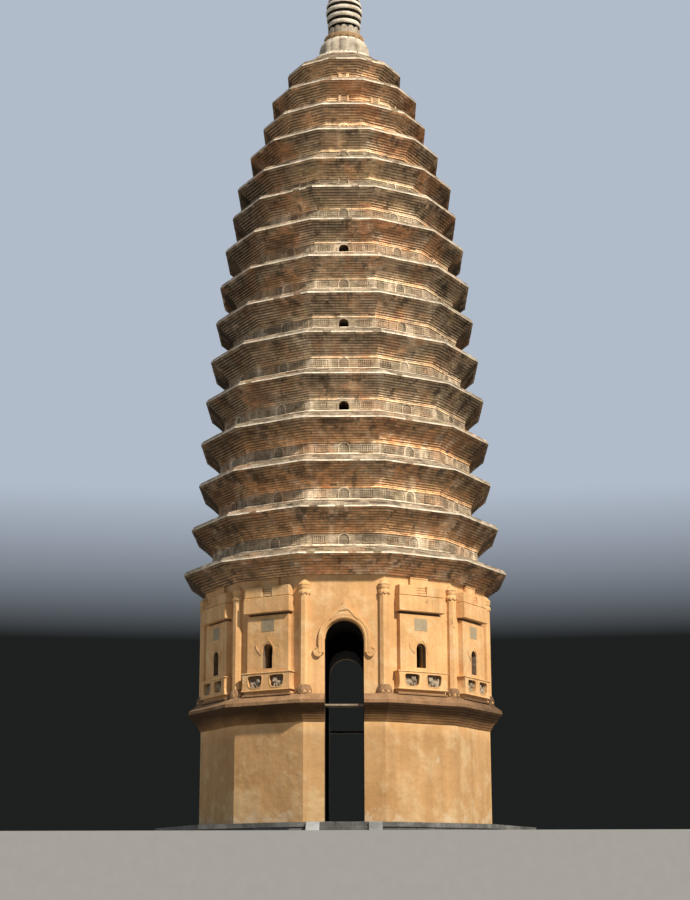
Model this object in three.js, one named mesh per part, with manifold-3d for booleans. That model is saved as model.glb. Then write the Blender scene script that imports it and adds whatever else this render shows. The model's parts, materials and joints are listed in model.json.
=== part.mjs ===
// A brick pagoda with twelve sides and fifteen close-set eaves, 36.8 m tall.
// Millimetres, +Z up, origin on the ground at the middle of the platform, front door towards -Y.
// Directions round the tower are in degrees from the front (-Y), positive towards +X.

import * as THREE from 'three';
import { mergeVertices } from 'three/addons/utils/BufferGeometryUtils.js';
import Module from 'manifold-3d';

const wasm = await Module();
wasm.setup();

// Clearance kept between neighbouring pieces
const GAP = 0.3;

// Plan
const SIDES = 12;
const STEP = 360 / SIDES;
const HALF_STEP = STEP / 2;
const FLAT_PER_CORNER = Math.cos(THREE.MathUtils.degToRad(HALF_STEP));

// Platform and the steps in front of it
const PLATFORM_HEIGHT = 850;
const PLATFORM_MARGIN = 1600;
const STEP_COUNT = 5;
const TREAD = 300;
const STEPS_HALF_WIDTH = 840;
const CHEEK_WIDTH = 470;

// Lower section: plain wall, corbelled waist and the ledge on top of it
const LOWER_RADIUS = 5700;
const LOWER_WALL_HEIGHT = 3600;
const WAIST_RADIUS = 6170;
const WAIST_CORBEL_HEIGHT = 620;
const WAIST_BULGE = { out: 150, height: 260 };
const WAIST_FASCIA = 110;
const LEDGE_SHELF_RADIUS = 5850;
const LEDGE_RISE = 240;
const LOWER_ROOM_FLAT = 2600;

// Upper section
const UPPER_RADIUS = 5600;
const UPPER_WALL_HEIGHT = 4370;
const SHAFT_SIDES = 8;
const SHAFT_SHARE = 0.47;

// Doorways on the four main faces, running through both sections to a round arch
const DOOR_HALF_WIDTH = 710;
const ARCH_RADIUS = 690;
const ARCH_SPRING_HEIGHT = 6580;
const LINTEL_THICKNESS = 70;
const LINTEL_DEPTH = 600;
const LINTEL_SETBACK = 60;

// Ogee hood round each arch
const HOOD_RELIEF = 110;
const HOOD_INNER_RADIUS = 740;
const HOOD_OUTER_RADIUS = 930;
const HOOD_TURN_ANGLE = 52;
const HOOD_TIP_HEIGHT = 7970;
const SCROLL_RADIUS = 150;
const SCROLL_OFFSET = 950;
const SCROLL_HEIGHT = 6070;

// Half-round corner columns with a lotus foot and a jewel head
const COLUMN_RADIUS = 175;
const COLUMN_SIDES = 8;
const LOTUS_HEIGHT = 330;
const LOTUS_RADIUS = 280;
const CAPITAL_FOOT = 8170;
const CAPITAL_HEIGHT = 620;
const CAPITAL_RADIUS = 240;

// Niche shrines on the other eight faces, heights above the ledge
const SHRINE_FOOT = { halfWidth: 1020, relief: 230, top: 190 };
const SHRINE_BASE = { halfWidth: 1070, relief: 330, top: 860 };
const SHRINE_BODY = { halfWidth: 890, relief: 200, top: 2970 };
const SHRINE_CROWN = [
  { halfWidth: 1000, relief: 340, top: 3620 },
  { halfWidth: 960, relief: 300, top: 4030 },
  { halfWidth: 390, relief: 150, top: 4340 },
];
const LION_PANEL = { halfWidth: 340, offset: 470, foot: 300, top: 770, depth: 150 };
const NICHE = { halfWidth: 200, foot: 1010, spring: 1710, depth: 620 };

// Eave lips from the lowest to the highest, height above the platform
const EAVES = [
  { radius: 6460, height: 9590 },
  { radius: 6190, height: 11380 },
  { radius: 5940, height: 13170 },
  { radius: 5890, height: 14870 },
  { radius: 5725, height: 16620 },
  { radius: 5550, height: 18310 },
  { radius: 5370, height: 19970 },
  { radius: 5230, height: 21520 },
  { radius: 5030, height: 23110 },
  { radius: 4750, height: 24590 },
  { radius: 4560, height: 25880 },
  { radius: 4040, height: 27370 },
  { radius: 3500, height: 28720 },
  { radius: 3140, height: 29980 },
  { radius: 2460, height: 31270 },
];
const OVERHANG_AT_FOOT = 860;
const OVERHANG_LOSS_PER_TIER = 22;
const CORBEL_SHARE = 0.44;
const SETBACK_SHARE = 0.28;
const CORBEL_BULGE = 1.35;
const CORBEL_POINTS = 6;
const LIP_THICKNESS = 80;
const LIP_UNDERCUT = 80;
const TOP_ROOF_RISE = 800;
const ROOF_KNEE = { out: 0.4, up: 0.5 };
const ROOF_MARGIN = 60;

// Arched vents on the front of three tiers
const VENT_TIERS = [5, 7, 9];
const VENT = { halfWidth: 190, foot: 30, spring: 245 };

// Finial, heights above the roof of the top tier
const BELL = {
  footRadius: 1390,
  footHeight: 130,
  height: 1020,
  radius: 1060,
  shoulder: 760,
  topRadius: 850,
};
const CUP = { waistRadius: 720, rimRadius: 870, rimFoot: 80, rimTop: 250, drumRadius: 690, height: 700 };
const RINGS = [
  { radius: 700, height: 320 },
  { radius: 740, height: 320 },
  { radius: 780, height: 310 },
  { radius: 750, height: 280 },
  { radius: 680, height: 240 },
  { radius: 580, height: 200 },
  { radius: 470, height: 150 },
];
const RING_SHARES = { foot: 0.18, edgeFoot: 0.28, edgeTop: 0.88 };
const MAST_SHARE = 0.62;
const JEWEL_RADIUS = 270;
const FINIAL_SIDES = 16;
const TOTAL_HEIGHT = 36780;

// Finishes
function masonry(color, roughness = 0.9) {
  return new THREE.MeshStandardMaterial({ color, roughness, metalness: 0 });
}
const SLATE = 0x5c5a58;
const OCHRE = 0xc08a4a;
const BRICK = 0xa07a55;
const PALE_STONE = 0xd9cfb8;
const LINTEL_STONE = 0xb8aa90;

// Plan helpers
function around(radius, degrees) {
  const a = THREE.MathUtils.degToRad(degrees);
  return new THREE.Vector2(radius * Math.sin(a), -radius * Math.cos(a));
}

// Where the ray of plan points with x = offset meets the side of a polygon that faces `degrees`
function onSide(flat, degrees, offset) {
  const a = THREE.MathUtils.degToRad(degrees);
  return new THREE.Vector2(offset, -(flat - offset * Math.sin(a)) / Math.cos(a));
}

// Swap x and y through the diagonal between the front (-Y) and the left (-X)
function mirrored(point) {
  return new THREE.Vector2(point.y, point.x);
}

// Solid helpers
function solid(geometry) {
  geometry.deleteAttribute('normal');
  geometry.deleteAttribute('uv');
  const merged = mergeVertices(geometry, 0.01);
  const positions = merged.getAttribute('position').array;
  const corners = Uint32Array.from(merged.index.array);
  if (signedVolume(positions, corners) < 0) {
    for (let i = 0; i < corners.length; i += 3) {
      [corners[i + 1], corners[i + 2]] = [corners[i + 2], corners[i + 1]];
    }
  }
  const mesh = new wasm.Mesh({ numProp: 3, vertProperties: new Float32Array(positions), triVerts: corners });
  return new wasm.Manifold(mesh);
}

function signedVolume(positions, corners) {
  const a = new THREE.Vector3();
  const b = new THREE.Vector3();
  const c = new THREE.Vector3();
  let sum = 0;
  for (let i = 0; i < corners.length; i += 3) {
    a.fromArray(positions, corners[i] * 3);
    b.fromArray(positions, corners[i + 1] * 3);
    c.fromArray(positions, corners[i + 2] * 3);
    sum += a.dot(b.cross(c));
  }
  return sum / 6;
}

function meshOf(name, body, material) {
  const shape = body.getMesh();
  const geometry = new THREE.BufferGeometry();
  geometry.setAttribute('position', new THREE.BufferAttribute(Float32Array.from(shape.vertProperties), 3));
  geometry.setIndex(new THREE.BufferAttribute(Uint32Array.from(shape.triVerts), 1));
  geometry.computeVertexNormals();
  const mesh = new THREE.Mesh(geometry, material);
  mesh.name = name;
  return mesh;
}

function prism(outline, bottom, top) {
  const options = { depth: top - bottom, bevelEnabled: false };
  const geometry = new THREE.ExtrudeGeometry(new THREE.Shape(outline), options);
  return solid(geometry.translate(0, 0, bottom));
}

// A regular polygon with a side facing the front, turned by a profile of [radius, height] corners
function turned(profile, sides = SIDES) {
  const points = profile.map(([radius, height]) => new THREE.Vector2(radius, height));
  const geometry = new THREE.LatheGeometry(points, sides, Math.PI / sides, Math.PI * 2);
  return solid(geometry.rotateX(Math.PI / 2));
}

function box(halfWidth, yNear, yFar, bottom, top) {
  const geometry = new THREE.BoxGeometry(halfWidth * 2, yFar - yNear, top - bottom);
  return solid(geometry.translate(0, (yNear + yFar) / 2, (bottom + top) / 2));
}

// An upright opening with a round head, cut along Y
function archCutter(halfWidth, foot, spring, yNear, yFar) {
  const shape = new THREE.Shape();
  shape.moveTo(-halfWidth, foot);
  shape.lineTo(halfWidth, foot);
  shape.lineTo(halfWidth, spring);
  shape.absarc(0, spring, halfWidth, 0, Math.PI, false);
  const options = { depth: yFar - yNear, bevelEnabled: false, curveSegments: 8 };
  const geometry = new THREE.ExtrudeGeometry(shape, options);
  return solid(geometry.rotateX(Math.PI / 2).translate(0, yFar, 0));
}

function spun(body, degrees) {
  return body.rotate([0, 0, degrees]);
}

// Levels
const LOWER_TOP = PLATFORM_HEIGHT + LOWER_WALL_HEIGHT + WAIST_CORBEL_HEIGHT + WAIST_FASCIA + LEDGE_RISE;
const WAIST_LIP = PLATFORM_HEIGHT + LOWER_WALL_HEIGHT + WAIST_CORBEL_HEIGHT;
const UPPER_TOP = LOWER_TOP + UPPER_WALL_HEIGHT;
const ARCH_SPRING = PLATFORM_HEIGHT + ARCH_SPRING_HEIGHT;
const UPPER_FLAT = UPPER_RADIUS * FLAT_PER_CORNER;
const SHAFT_FLAT = UPPER_FLAT * SHAFT_SHARE;

const QUARTERS = [
  { name: 'southwest', turn: 0 },
  { name: 'southeast', turn: 90 },
  { name: 'northeast', turn: 180 },
  { name: 'northwest', turn: 270 },
];
const MAIN_FACES = [
  { name: 'south', turn: 0 },
  { name: 'east', turn: 90 },
  { name: 'north', turn: 180 },
  { name: 'west', turn: 270 },
];

function platform() {
  const radius = LOWER_RADIUS + PLATFORM_MARGIN / FLAT_PER_CORNER;
  return turned([[0, 0], [radius, 0], [radius, PLATFORM_HEIGHT], [0, PLATFORM_HEIGHT]]);
}

// A flight between two sloping side stones, drawn in side view as [distance in front, height]
function entranceSteps() {
  const face = LOWER_RADIUS * FLAT_PER_CORNER + PLATFORM_MARGIN;
  const rise = PLATFORM_HEIGHT / STEP_COUNT;
  const run = TREAD * STEP_COUNT;
  const treads = [new THREE.Vector2(GAP, 0), new THREE.Vector2(run, 0)];
  for (let i = 1; i <= STEP_COUNT; i += 1) {
    treads.push(new THREE.Vector2(run - (i - 1) * TREAD, i * rise));
    treads.push(new THREE.Vector2(i === STEP_COUNT ? GAP : run - i * TREAD, i * rise));
  }
  const cheek = [
    new THREE.Vector2(GAP, 0),
    new THREE.Vector2(run + TREAD, 0),
    new THREE.Vector2(run + TREAD, rise * 0.6),
    new THREE.Vector2(TREAD, PLATFORM_HEIGHT),
    new THREE.Vector2(GAP, PLATFORM_HEIGHT),
  ];
  const slab = (outline, xFrom, xTo) => {
    const options = { depth: xTo - xFrom, bevelEnabled: false };
    const geometry = new THREE.ExtrudeGeometry(new THREE.Shape(outline), options);
    geometry.rotateX(Math.PI / 2).rotateZ(-Math.PI / 2);
    return solid(geometry.translate(xTo, -face, 0));
  };
  const outer = STEPS_HALF_WIDTH + CHEEK_WIDTH;
  return slab(treads, -STEPS_HALF_WIDTH - 1, STEPS_HALF_WIDTH + 1)
    .add(slab(cheek, STEPS_HALF_WIDTH, outer))
    .add(slab(cheek, -outer, -STEPS_HALF_WIDTH));
}

// Plan of a quarter of a hollow wall between two doorways: outer corners, then inner ones
function quarterPlan(outerRadius, innerOutline) {
  const outerFlat = outerRadius * FLAT_PER_CORNER;
  const outer = [new THREE.Vector2(-DOOR_HALF_WIDTH, -outerFlat)];
  for (let i = 0; i < 3; i += 1) {
    outer.push(around(outerRadius, -HALF_STEP - i * STEP));
  }
  outer.push(new THREE.Vector2(-outerFlat, -DOOR_HALF_WIDTH));
  return outer.concat(innerOutline);
}

function lowerWall() {
  const start = onSide(LOWER_ROOM_FLAT, -STEP, -DOOR_HALF_WIDTH);
  const roomCorner = around(LOWER_ROOM_FLAT / FLAT_PER_CORNER, -45);
  const inner = [mirrored(start), roomCorner, start];
  const wallTop = PLATFORM_HEIGHT + LOWER_WALL_HEIGHT;
  const outside = turned([
    [0, PLATFORM_HEIGHT + GAP],
    [LOWER_RADIUS, PLATFORM_HEIGHT + GAP],
    [LOWER_RADIUS, wallTop],
    [LOWER_RADIUS + WAIST_BULGE.out, wallTop + WAIST_BULGE.height],
    [WAIST_RADIUS, WAIST_LIP],
    [WAIST_RADIUS, WAIST_LIP + WAIST_FASCIA],
    [LEDGE_SHELF_RADIUS, LOWER_TOP],
    [0, LOWER_TOP],
  ]);
  const sector = prism(quarterPlan(WAIST_RADIUS + 500, inner), PLATFORM_HEIGHT, LOWER_TOP + 1);
  return outside.subtract(lowerRoom()).intersect(sector);
}

function lowerRoom() {
  const radius = LOWER_ROOM_FLAT / FLAT_PER_CORNER;
  const bottom = PLATFORM_HEIGHT - 1;
  const top = LOWER_TOP + 1;
  return turned([[0, bottom], [radius, bottom], [radius, top], [0, top]]);
}

function column(degrees) {
  const bottom = LOWER_TOP + GAP;
  const head = PLATFORM_HEIGHT + CAPITAL_FOOT;
  const body = turned([
    [0, bottom],
    [LOTUS_RADIUS, bottom],
    [LOTUS_RADIUS, bottom + LOTUS_HEIGHT * 0.4],
    [COLUMN_RADIUS, bottom + LOTUS_HEIGHT],
    [COLUMN_RADIUS, head],
    [CAPITAL_RADIUS, head + CAPITAL_HEIGHT * 0.15],
    [COLUMN_RADIUS, head + CAPITAL_HEIGHT * 0.4],
    [CAPITAL_RADIUS, head + CAPITAL_HEIGHT * 0.65],
    [COLUMN_RADIUS * 0.6, head + CAPITAL_HEIGHT * 0.9],
    [0, head + CAPITAL_HEIGHT],
  ], COLUMN_SIDES);
  const place = around(UPPER_RADIUS, degrees);
  return body.translate([place.x, place.y, 0]);
}

function nicheCutter() {
  return archCutter(
    NICHE.halfWidth,
    LOWER_TOP + NICHE.foot,
    LOWER_TOP + NICHE.spring,
    -UPPER_FLAT - SHRINE_BASE.relief * 2,
    -UPPER_FLAT + NICHE.depth - SHRINE_BODY.relief,
  );
}

function upperWall() {
  const shaftCorner = SHAFT_FLAT / Math.cos(Math.PI / SHAFT_SIDES);
  const inner = [
    new THREE.Vector2(-SHAFT_FLAT, -DOOR_HALF_WIDTH),
    around(shaftCorner, -67.5),
    around(shaftCorner, -22.5),
    new THREE.Vector2(-DOOR_HALF_WIDTH, -SHAFT_FLAT),
  ];
  let body = prism(quarterPlan(UPPER_RADIUS, inner), LOWER_TOP + GAP, UPPER_TOP);
  for (let i = 0; i < 3; i += 1) {
    body = body.add(column(-HALF_STEP - i * STEP));
  }
  body = body.subtract(spun(nicheCutter(), -STEP));
  return body.subtract(spun(nicheCutter(), -2 * STEP));
}

// Masonry over a doorway, with the raised ogee hood on its outer face
function doorArch() {
  const halfWidth = DOOR_HALF_WIDTH - GAP;
  const head = new THREE.Shape();
  head.moveTo(halfWidth, ARCH_SPRING);
  head.lineTo(halfWidth, UPPER_TOP);
  head.lineTo(-halfWidth, UPPER_TOP);
  head.lineTo(-halfWidth, ARCH_SPRING);
  head.lineTo(-ARCH_RADIUS, ARCH_SPRING);
  head.absarc(0, ARCH_SPRING, ARCH_RADIUS, Math.PI, 0, true);
  const depth = UPPER_FLAT - SHAFT_FLAT + GAP + 1;
  const geometry = new THREE.ExtrudeGeometry(head, { depth, bevelEnabled: false, curveSegments: 12 });
  geometry.rotateX(Math.PI / 2).translate(0, -SHAFT_FLAT, 0);
  return solid(geometry).add(doorHood());
}

function doorHood() {
  const tip = PLATFORM_HEIGHT + HOOD_TIP_HEIGHT;
  const turn = THREE.MathUtils.degToRad(HOOD_TURN_ANGLE);
  const shoulder = new THREE.Vector2(
    HOOD_OUTER_RADIUS * Math.cos(turn),
    ARCH_SPRING + HOOD_OUTER_RADIUS * Math.sin(turn),
  );
  const foot = PLATFORM_HEIGHT + SCROLL_HEIGHT;
  const outline = new THREE.Shape();
  outline.moveTo(HOOD_OUTER_RADIUS, foot);
  outline.lineTo(HOOD_OUTER_RADIUS, ARCH_SPRING);
  outline.absarc(0, ARCH_SPRING, HOOD_OUTER_RADIUS, 0, turn, false);
  outline.quadraticCurveTo(shoulder.x * 0.35, shoulder.y + 130, 0, tip);
  outline.quadraticCurveTo(-shoulder.x * 0.35, shoulder.y + 130, -shoulder.x, shoulder.y);
  outline.absarc(0, ARCH_SPRING, HOOD_OUTER_RADIUS, Math.PI - turn, Math.PI, false);
  outline.lineTo(-HOOD_OUTER_RADIUS, foot);
  outline.lineTo(-HOOD_INNER_RADIUS, foot);
  outline.lineTo(-HOOD_INNER_RADIUS, ARCH_SPRING);
  outline.absarc(0, ARCH_SPRING, HOOD_INNER_RADIUS, Math.PI, 0, true);
  outline.lineTo(HOOD_INNER_RADIUS, foot);
  const yBack = -UPPER_FLAT - GAP;
  const options = { depth: HOOD_RELIEF, bevelEnabled: false, curveSegments: 10 };
  const band = new THREE.ExtrudeGeometry(outline, options).rotateX(Math.PI / 2).translate(0, yBack, 0);
  let body = solid(band);
  for (const side of [-1, 1]) {
    const scroll = new THREE.CylinderGeometry(SCROLL_RADIUS, SCROLL_RADIUS, HOOD_RELIEF, 12);
    scroll.translate(side * SCROLL_OFFSET, yBack - HOOD_RELIEF / 2, foot);
    body = body.add(solid(scroll));
  }
  return body;
}

// Slab across a doorway at the level of the waist
function doorLintel() {
  const face = -LOWER_RADIUS * FLAT_PER_CORNER + LINTEL_SETBACK;
  return box(DOOR_HALF_WIDTH - GAP, face, face + LINTEL_DEPTH, WAIST_LIP - LINTEL_THICKNESS, WAIST_LIP);
}

function shrine() {
  const back = -UPPER_FLAT - GAP;
  const ledge = LOWER_TOP + GAP;
  const block = (layer, bottom) => {
    return box(layer.halfWidth, back - layer.relief, back, LOWER_TOP + bottom, LOWER_TOP + layer.top);
  };
  let body = box(SHRINE_FOOT.halfWidth, back - SHRINE_FOOT.relief, back, ledge, LOWER_TOP + SHRINE_FOOT.top);
  let level = SHRINE_FOOT.top;
  for (const layer of [SHRINE_BASE, SHRINE_BODY, ...SHRINE_CROWN]) {
    body = body.add(block(layer, level - 1));
    level = layer.top;
  }
  for (const side of [-1, 1]) {
    const face = back - SHRINE_BASE.relief;
    const panel = box(LION_PANEL.halfWidth, face - 1, face + LION_PANEL.depth,
      LOWER_TOP + LION_PANEL.foot, LOWER_TOP + LION_PANEL.top);
    body = body.subtract(panel.translate([side * LION_PANEL.offset, 0, 0]));
  }
  return body.subtract(nicheCutter());
}

// Tiers
function overhang(tier) {
  return OVERHANG_AT_FOOT - OVERHANG_LOSS_PER_TIER * (tier - 1);
}

function neckRadius(tier) {
  return tier === 1 ? UPPER_RADIUS : EAVES[tier - 1].radius - overhang(tier);
}

function lipHeight(tier) {
  return PLATFORM_HEIGHT + EAVES[tier - 1].height;
}

function setbackTop(tier) {
  if (tier === EAVES.length) {
    return lipHeight(tier) + TOP_ROOF_RISE;
  }
  return lipHeight(tier) + SETBACK_SHARE * (lipHeight(tier + 1) - lipHeight(tier));
}

function corbelFoot(tier) {
  if (tier === 1) {
    return UPPER_TOP;
  }
  return lipHeight(tier) - CORBEL_SHARE * (lipHeight(tier) - lipHeight(tier - 1));
}

// One storey of the upper shaft: short neck, corbelled eave and stepped-back top
function eaveTier(tier) {
  const lip = EAVES[tier - 1].radius;
  const neck = neckRadius(tier);
  const bottom = (tier === 1 ? UPPER_TOP : setbackTop(tier - 1)) + GAP;
  const foot = Math.max(corbelFoot(tier), bottom);
  const isTop = tier === EAVES.length;
  const nextNeck = isTop ? BELL.footRadius + ROOF_MARGIN : neckRadius(tier + 1);
  const top = setbackTop(tier);
  const profile = [[0, bottom], [neck, bottom]];
  for (let i = foot > bottom ? 0 : 1; i <= CORBEL_POINTS; i += 1) {
    const share = i / CORBEL_POINTS;
    const out = neck + (lip - LIP_UNDERCUT - neck) * Math.pow(share, CORBEL_BULGE);
    profile.push([out, foot + (lipHeight(tier) - foot) * share]);
  }
  const shoulder = lipHeight(tier) + LIP_THICKNESS;
  profile.push([lip, lipHeight(tier)], [lip, shoulder]);
  profile.push([nextNeck + (lip - nextNeck) * ROOF_KNEE.out, shoulder + (top - shoulder) * ROOF_KNEE.up]);
  profile.push([nextNeck, top], [0, top]);
  const shaft = neck * FLAT_PER_CORNER * SHAFT_SHARE / Math.cos(Math.PI / SHAFT_SIDES);
  const ceiling = isTop ? foot : top + 1;
  const hollow = turned([[0, bottom - 1], [shaft, bottom - 1], [shaft, ceiling], [0, ceiling]], SHAFT_SIDES);
  let body = turned(profile).subtract(hollow);
  if (VENT_TIERS.includes(tier)) {
    const flat = neck * FLAT_PER_CORNER;
    const { halfWidth, foot: sill, spring } = VENT;
    body = body.subtract(archCutter(halfWidth, bottom + sill, bottom + spring, -flat - 1, -shaft * 0.5));
  }
  return body;
}

// Finial
const ROOF_TOP = setbackTop(EAVES.length);
const BELL_TOP = ROOF_TOP + BELL.height;
const CUP_TOP = BELL_TOP + CUP.height;
const RINGS_TOP = CUP_TOP + RINGS.reduce((sum, ring) => sum + ring.height, 0);

function lotusBell() {
  const bottom = ROOF_TOP + GAP;
  const { footRadius, footHeight, radius, shoulder, topRadius } = BELL;
  return turned([
    [0, bottom],
    [footRadius, bottom],
    [footRadius, bottom + footHeight],
    [radius, bottom + footHeight],
    [radius, bottom + shoulder],
    [(radius + topRadius) / 2, (bottom + shoulder + BELL_TOP) / 2],
    [topRadius, BELL_TOP],
    [0, BELL_TOP],
  ], FINIAL_SIDES);
}

function cup() {
  const bottom = BELL_TOP + GAP;
  return turned([
    [0, bottom],
    [CUP.waistRadius, bottom],
    [CUP.rimRadius, bottom + CUP.rimFoot],
    [CUP.rimRadius, bottom + CUP.rimTop],
    [CUP.drumRadius, bottom + CUP.rimTop],
    [CUP.drumRadius, CUP_TOP],
    [0, CUP_TOP],
  ], FINIAL_SIDES);
}

function rings() {
  const profile = [[0, CUP_TOP + GAP]];
  const { foot, edgeFoot, edgeTop } = RING_SHARES;
  let bottom = CUP_TOP + GAP;
  for (const { radius, height } of RINGS) {
    const mast = radius * MAST_SHARE;
    profile.push([mast, bottom], [mast, bottom + height * foot]);
    profile.push([radius, bottom + height * edgeFoot], [radius, bottom + height * edgeTop]);
    bottom += height;
  }
  profile.push([RINGS.at(-1).radius * MAST_SHARE, RINGS_TOP], [0, RINGS_TOP]);
  return turned(profile, FINIAL_SIDES);
}

function jewel() {
  const bottom = RINGS_TOP + GAP;
  const height = TOTAL_HEIGHT - bottom;
  return turned([
    [0, bottom],
    [JEWEL_RADIUS * 0.7, bottom],
    [JEWEL_RADIUS, bottom + height * 0.3],
    [JEWEL_RADIUS * 0.85, bottom + height * 0.55],
    [JEWEL_RADIUS * 0.35, bottom + height * 0.82],
    [0, TOTAL_HEIGHT],
  ], FINIAL_SIDES);
}

// Assembly
const pagoda = new THREE.Group();
const ochre = masonry(OCHRE);
const brick = masonry(BRICK, 0.95);
const paleStone = masonry(PALE_STONE);

pagoda.add(meshOf('base_platform', platform(), masonry(SLATE)));
pagoda.add(meshOf('entrance_steps', entranceSteps(), masonry(SLATE)));

const lowerQuarter = lowerWall();
const upperQuarter = upperWall();
for (const { name, turn } of QUARTERS) {
  pagoda.add(meshOf(`lower_wall_${name}`, spun(lowerQuarter, turn), ochre));
  pagoda.add(meshOf(`upper_wall_${name}`, spun(upperQuarter, turn), ochre));
}

const archBlock = doorArch();
const lintelSlab = doorLintel();
for (const { name, turn } of MAIN_FACES) {
  pagoda.add(meshOf(`door_arch_${name}`, spun(archBlock, turn), ochre));
  pagoda.add(meshOf(`door_lintel_${name}`, spun(lintelSlab, turn), masonry(LINTEL_STONE)));
}

const shrineBody = shrine();
let shrineNumber = 0;
for (let turn = STEP; turn < 360; turn += STEP) {
  if (turn % 90 !== 0) {
    shrineNumber += 1;
    pagoda.add(meshOf(`niche_shrine_${shrineNumber}`, spun(shrineBody, turn), ochre));
  }
}

for (let tier = 1; tier <= EAVES.length; tier += 1) {
  pagoda.add(meshOf(`eave_tier_${String(tier).padStart(2, '0')}`, eaveTier(tier), brick));
}

pagoda.add(meshOf('finial_lotus_bell', lotusBell(), paleStone));
pagoda.add(meshOf('finial_cup', cup(), paleStone));
pagoda.add(meshOf('finial_rings', rings(), paleStone));
pagoda.add(meshOf('finial_jewel', jewel(), paleStone));

export default pagoda;
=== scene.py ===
"""Looks of the twelve-sided brick pagoda: platform stones, plaster, shrines, brick eaves and finial.

Metres, +Z up, origin on the ground under the tower's axis, front door towards -Y.
Turns are in degrees from the front, positive towards +X.
"""

import json
import logging
import math
import random
from dataclasses import dataclass, replace
from enum import Enum
from typing import Iterable, Sequence

import bmesh
import bpy
from mathutils import Matrix, Vector, noise

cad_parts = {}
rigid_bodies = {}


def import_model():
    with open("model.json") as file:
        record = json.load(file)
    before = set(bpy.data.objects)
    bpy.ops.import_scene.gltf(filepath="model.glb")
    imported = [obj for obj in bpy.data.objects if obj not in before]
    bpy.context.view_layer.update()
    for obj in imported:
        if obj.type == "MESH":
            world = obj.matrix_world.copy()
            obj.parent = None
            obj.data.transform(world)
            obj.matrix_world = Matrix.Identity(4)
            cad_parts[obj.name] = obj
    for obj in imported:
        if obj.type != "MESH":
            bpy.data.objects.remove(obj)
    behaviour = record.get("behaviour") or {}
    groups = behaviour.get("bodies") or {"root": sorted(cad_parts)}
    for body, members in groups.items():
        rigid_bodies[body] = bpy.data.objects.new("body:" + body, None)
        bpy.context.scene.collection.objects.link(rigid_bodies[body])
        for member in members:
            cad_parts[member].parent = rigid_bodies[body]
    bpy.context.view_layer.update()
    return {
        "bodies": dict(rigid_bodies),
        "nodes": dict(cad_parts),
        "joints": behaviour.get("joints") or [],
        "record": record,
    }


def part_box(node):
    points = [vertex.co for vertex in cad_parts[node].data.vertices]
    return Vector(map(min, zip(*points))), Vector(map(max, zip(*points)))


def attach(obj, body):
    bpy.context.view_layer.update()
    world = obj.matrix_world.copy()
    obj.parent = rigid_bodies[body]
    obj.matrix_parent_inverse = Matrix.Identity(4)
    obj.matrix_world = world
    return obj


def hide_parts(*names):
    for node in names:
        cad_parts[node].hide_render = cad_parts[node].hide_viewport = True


log = logging.getLogger("pagoda")

Coat = bpy.types.Material
Pair = tuple[float, float]
Profile = Sequence[Pair]
Outline = list[Pair]
Triple = tuple[float, float, float]
Socket = bpy.types.NodeSocket
Verts = list[bmesh.types.BMVert]
Edges = list[bmesh.types.BMEdge]
Faces = list[bmesh.types.BMFace]

SIDES = 12
SIDE_TURN = 360 / SIDES
FLAT_SHARE = math.cos(math.radians(SIDE_TURN / 2))
SIDE_SHARE = 2 * math.sin(math.radians(SIDE_TURN / 2))
MAIN_TURNS = {"south": 0, "east": 90, "north": 180, "west": 270}
QUARTER_TURNS = {"southwest": 0, "southeast": 90, "northeast": 180, "northwest": 270}
SHRINE_TURNS = [turn for turn in range(30, 360, 30) if turn % 90]
ALL_TURNS = [SIDE_TURN * side for side in range(SIDES)]
# Turn towards which the brick finishes paint light, and away from which they paint shade.
PAINTED_SUN_TURN = 15
SORTING_AXIS = Vector((0.755, 0.57, 0.325))
WOBBLE_SEED = 7
LAST_LOW_TIER = 4
FIRST_TOP_TIER = 13

FLOOR_LEVEL = 0.85
WALL_TOP = 4.45
WAIST_LEVEL = 5.07
LEDGE_LEVEL = 5.42
UPPER_TOP = 9.79
LOWER_RADIUS = 5.70
PLATFORM_MARGIN = 1.60
UPPER_RADIUS = 5.60
UPPER_FLAT = UPPER_RADIUS * FLAT_SHARE
DOOR_HALF_WIDTH = 0.71
ARCH_SPRING = 7.43


def heading(turn: float) -> Vector:
    """Horizontal unit vector that points away from the axis at a turn in degrees."""
    angle = math.radians(turn)
    return Vector((math.sin(angle), -math.cos(angle), 0.0))


def turned_by(turn: float) -> Matrix:
    """Rotation about the tower's axis by a turn in degrees."""
    return Matrix.Rotation(math.radians(turn), 4, "Z")


def between(low: float, high: float, share: float) -> float:
    """Value at a share of the way from low to high."""
    return low + (high - low) * share


def side_of(point: Vector) -> int:
    """Number of the tower's side that a point belongs to, 0 at the front."""
    return round(math.degrees(math.atan2(point.x, -point.y)) / SIDE_TURN)


def along_side(edge: bmesh.types.BMEdge) -> bool:
    """Whether an edge runs level along its side of the tower."""
    run = edge.verts[1].co - edge.verts[0].co
    middle = (edge.verts[1].co + edge.verts[0].co) / 2
    along = heading(side_of(middle) * SIDE_TURN + 90)
    return run.length > 1e-6 and abs(run.normalized().dot(along)) > 0.99


def distinct(items: Iterable) -> list:
    """Each item once, in the order in which it first comes, so that every run is the same."""
    return list(dict.fromkeys(items))


def by_place(faces: Iterable[bmesh.types.BMFace]) -> Faces:
    """Faces in an order that their places alone decide, so that every run draws the same chances."""
    return sorted(faces, key=lambda face: math.fsum(SORTING_AXIS.dot(vert.co) for vert in face.verts))


def only(items: Iterable, kind: type) -> list:
    """The items of one kind among those that an operator made."""
    return [item for item in items if isinstance(item, kind)]


def mirrored(points: Profile) -> Outline:
    """Points on the other side of the middle line, in the reverse order."""
    return [(-x, z) for x, z in reversed(points)]


def oblong(inner: float, outer: float, low: float, high: float) -> Outline:
    """Profile of a plain band between two radii and two heights."""
    return [(inner, low), (outer, low), (outer, high), (inner, high)]


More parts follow.
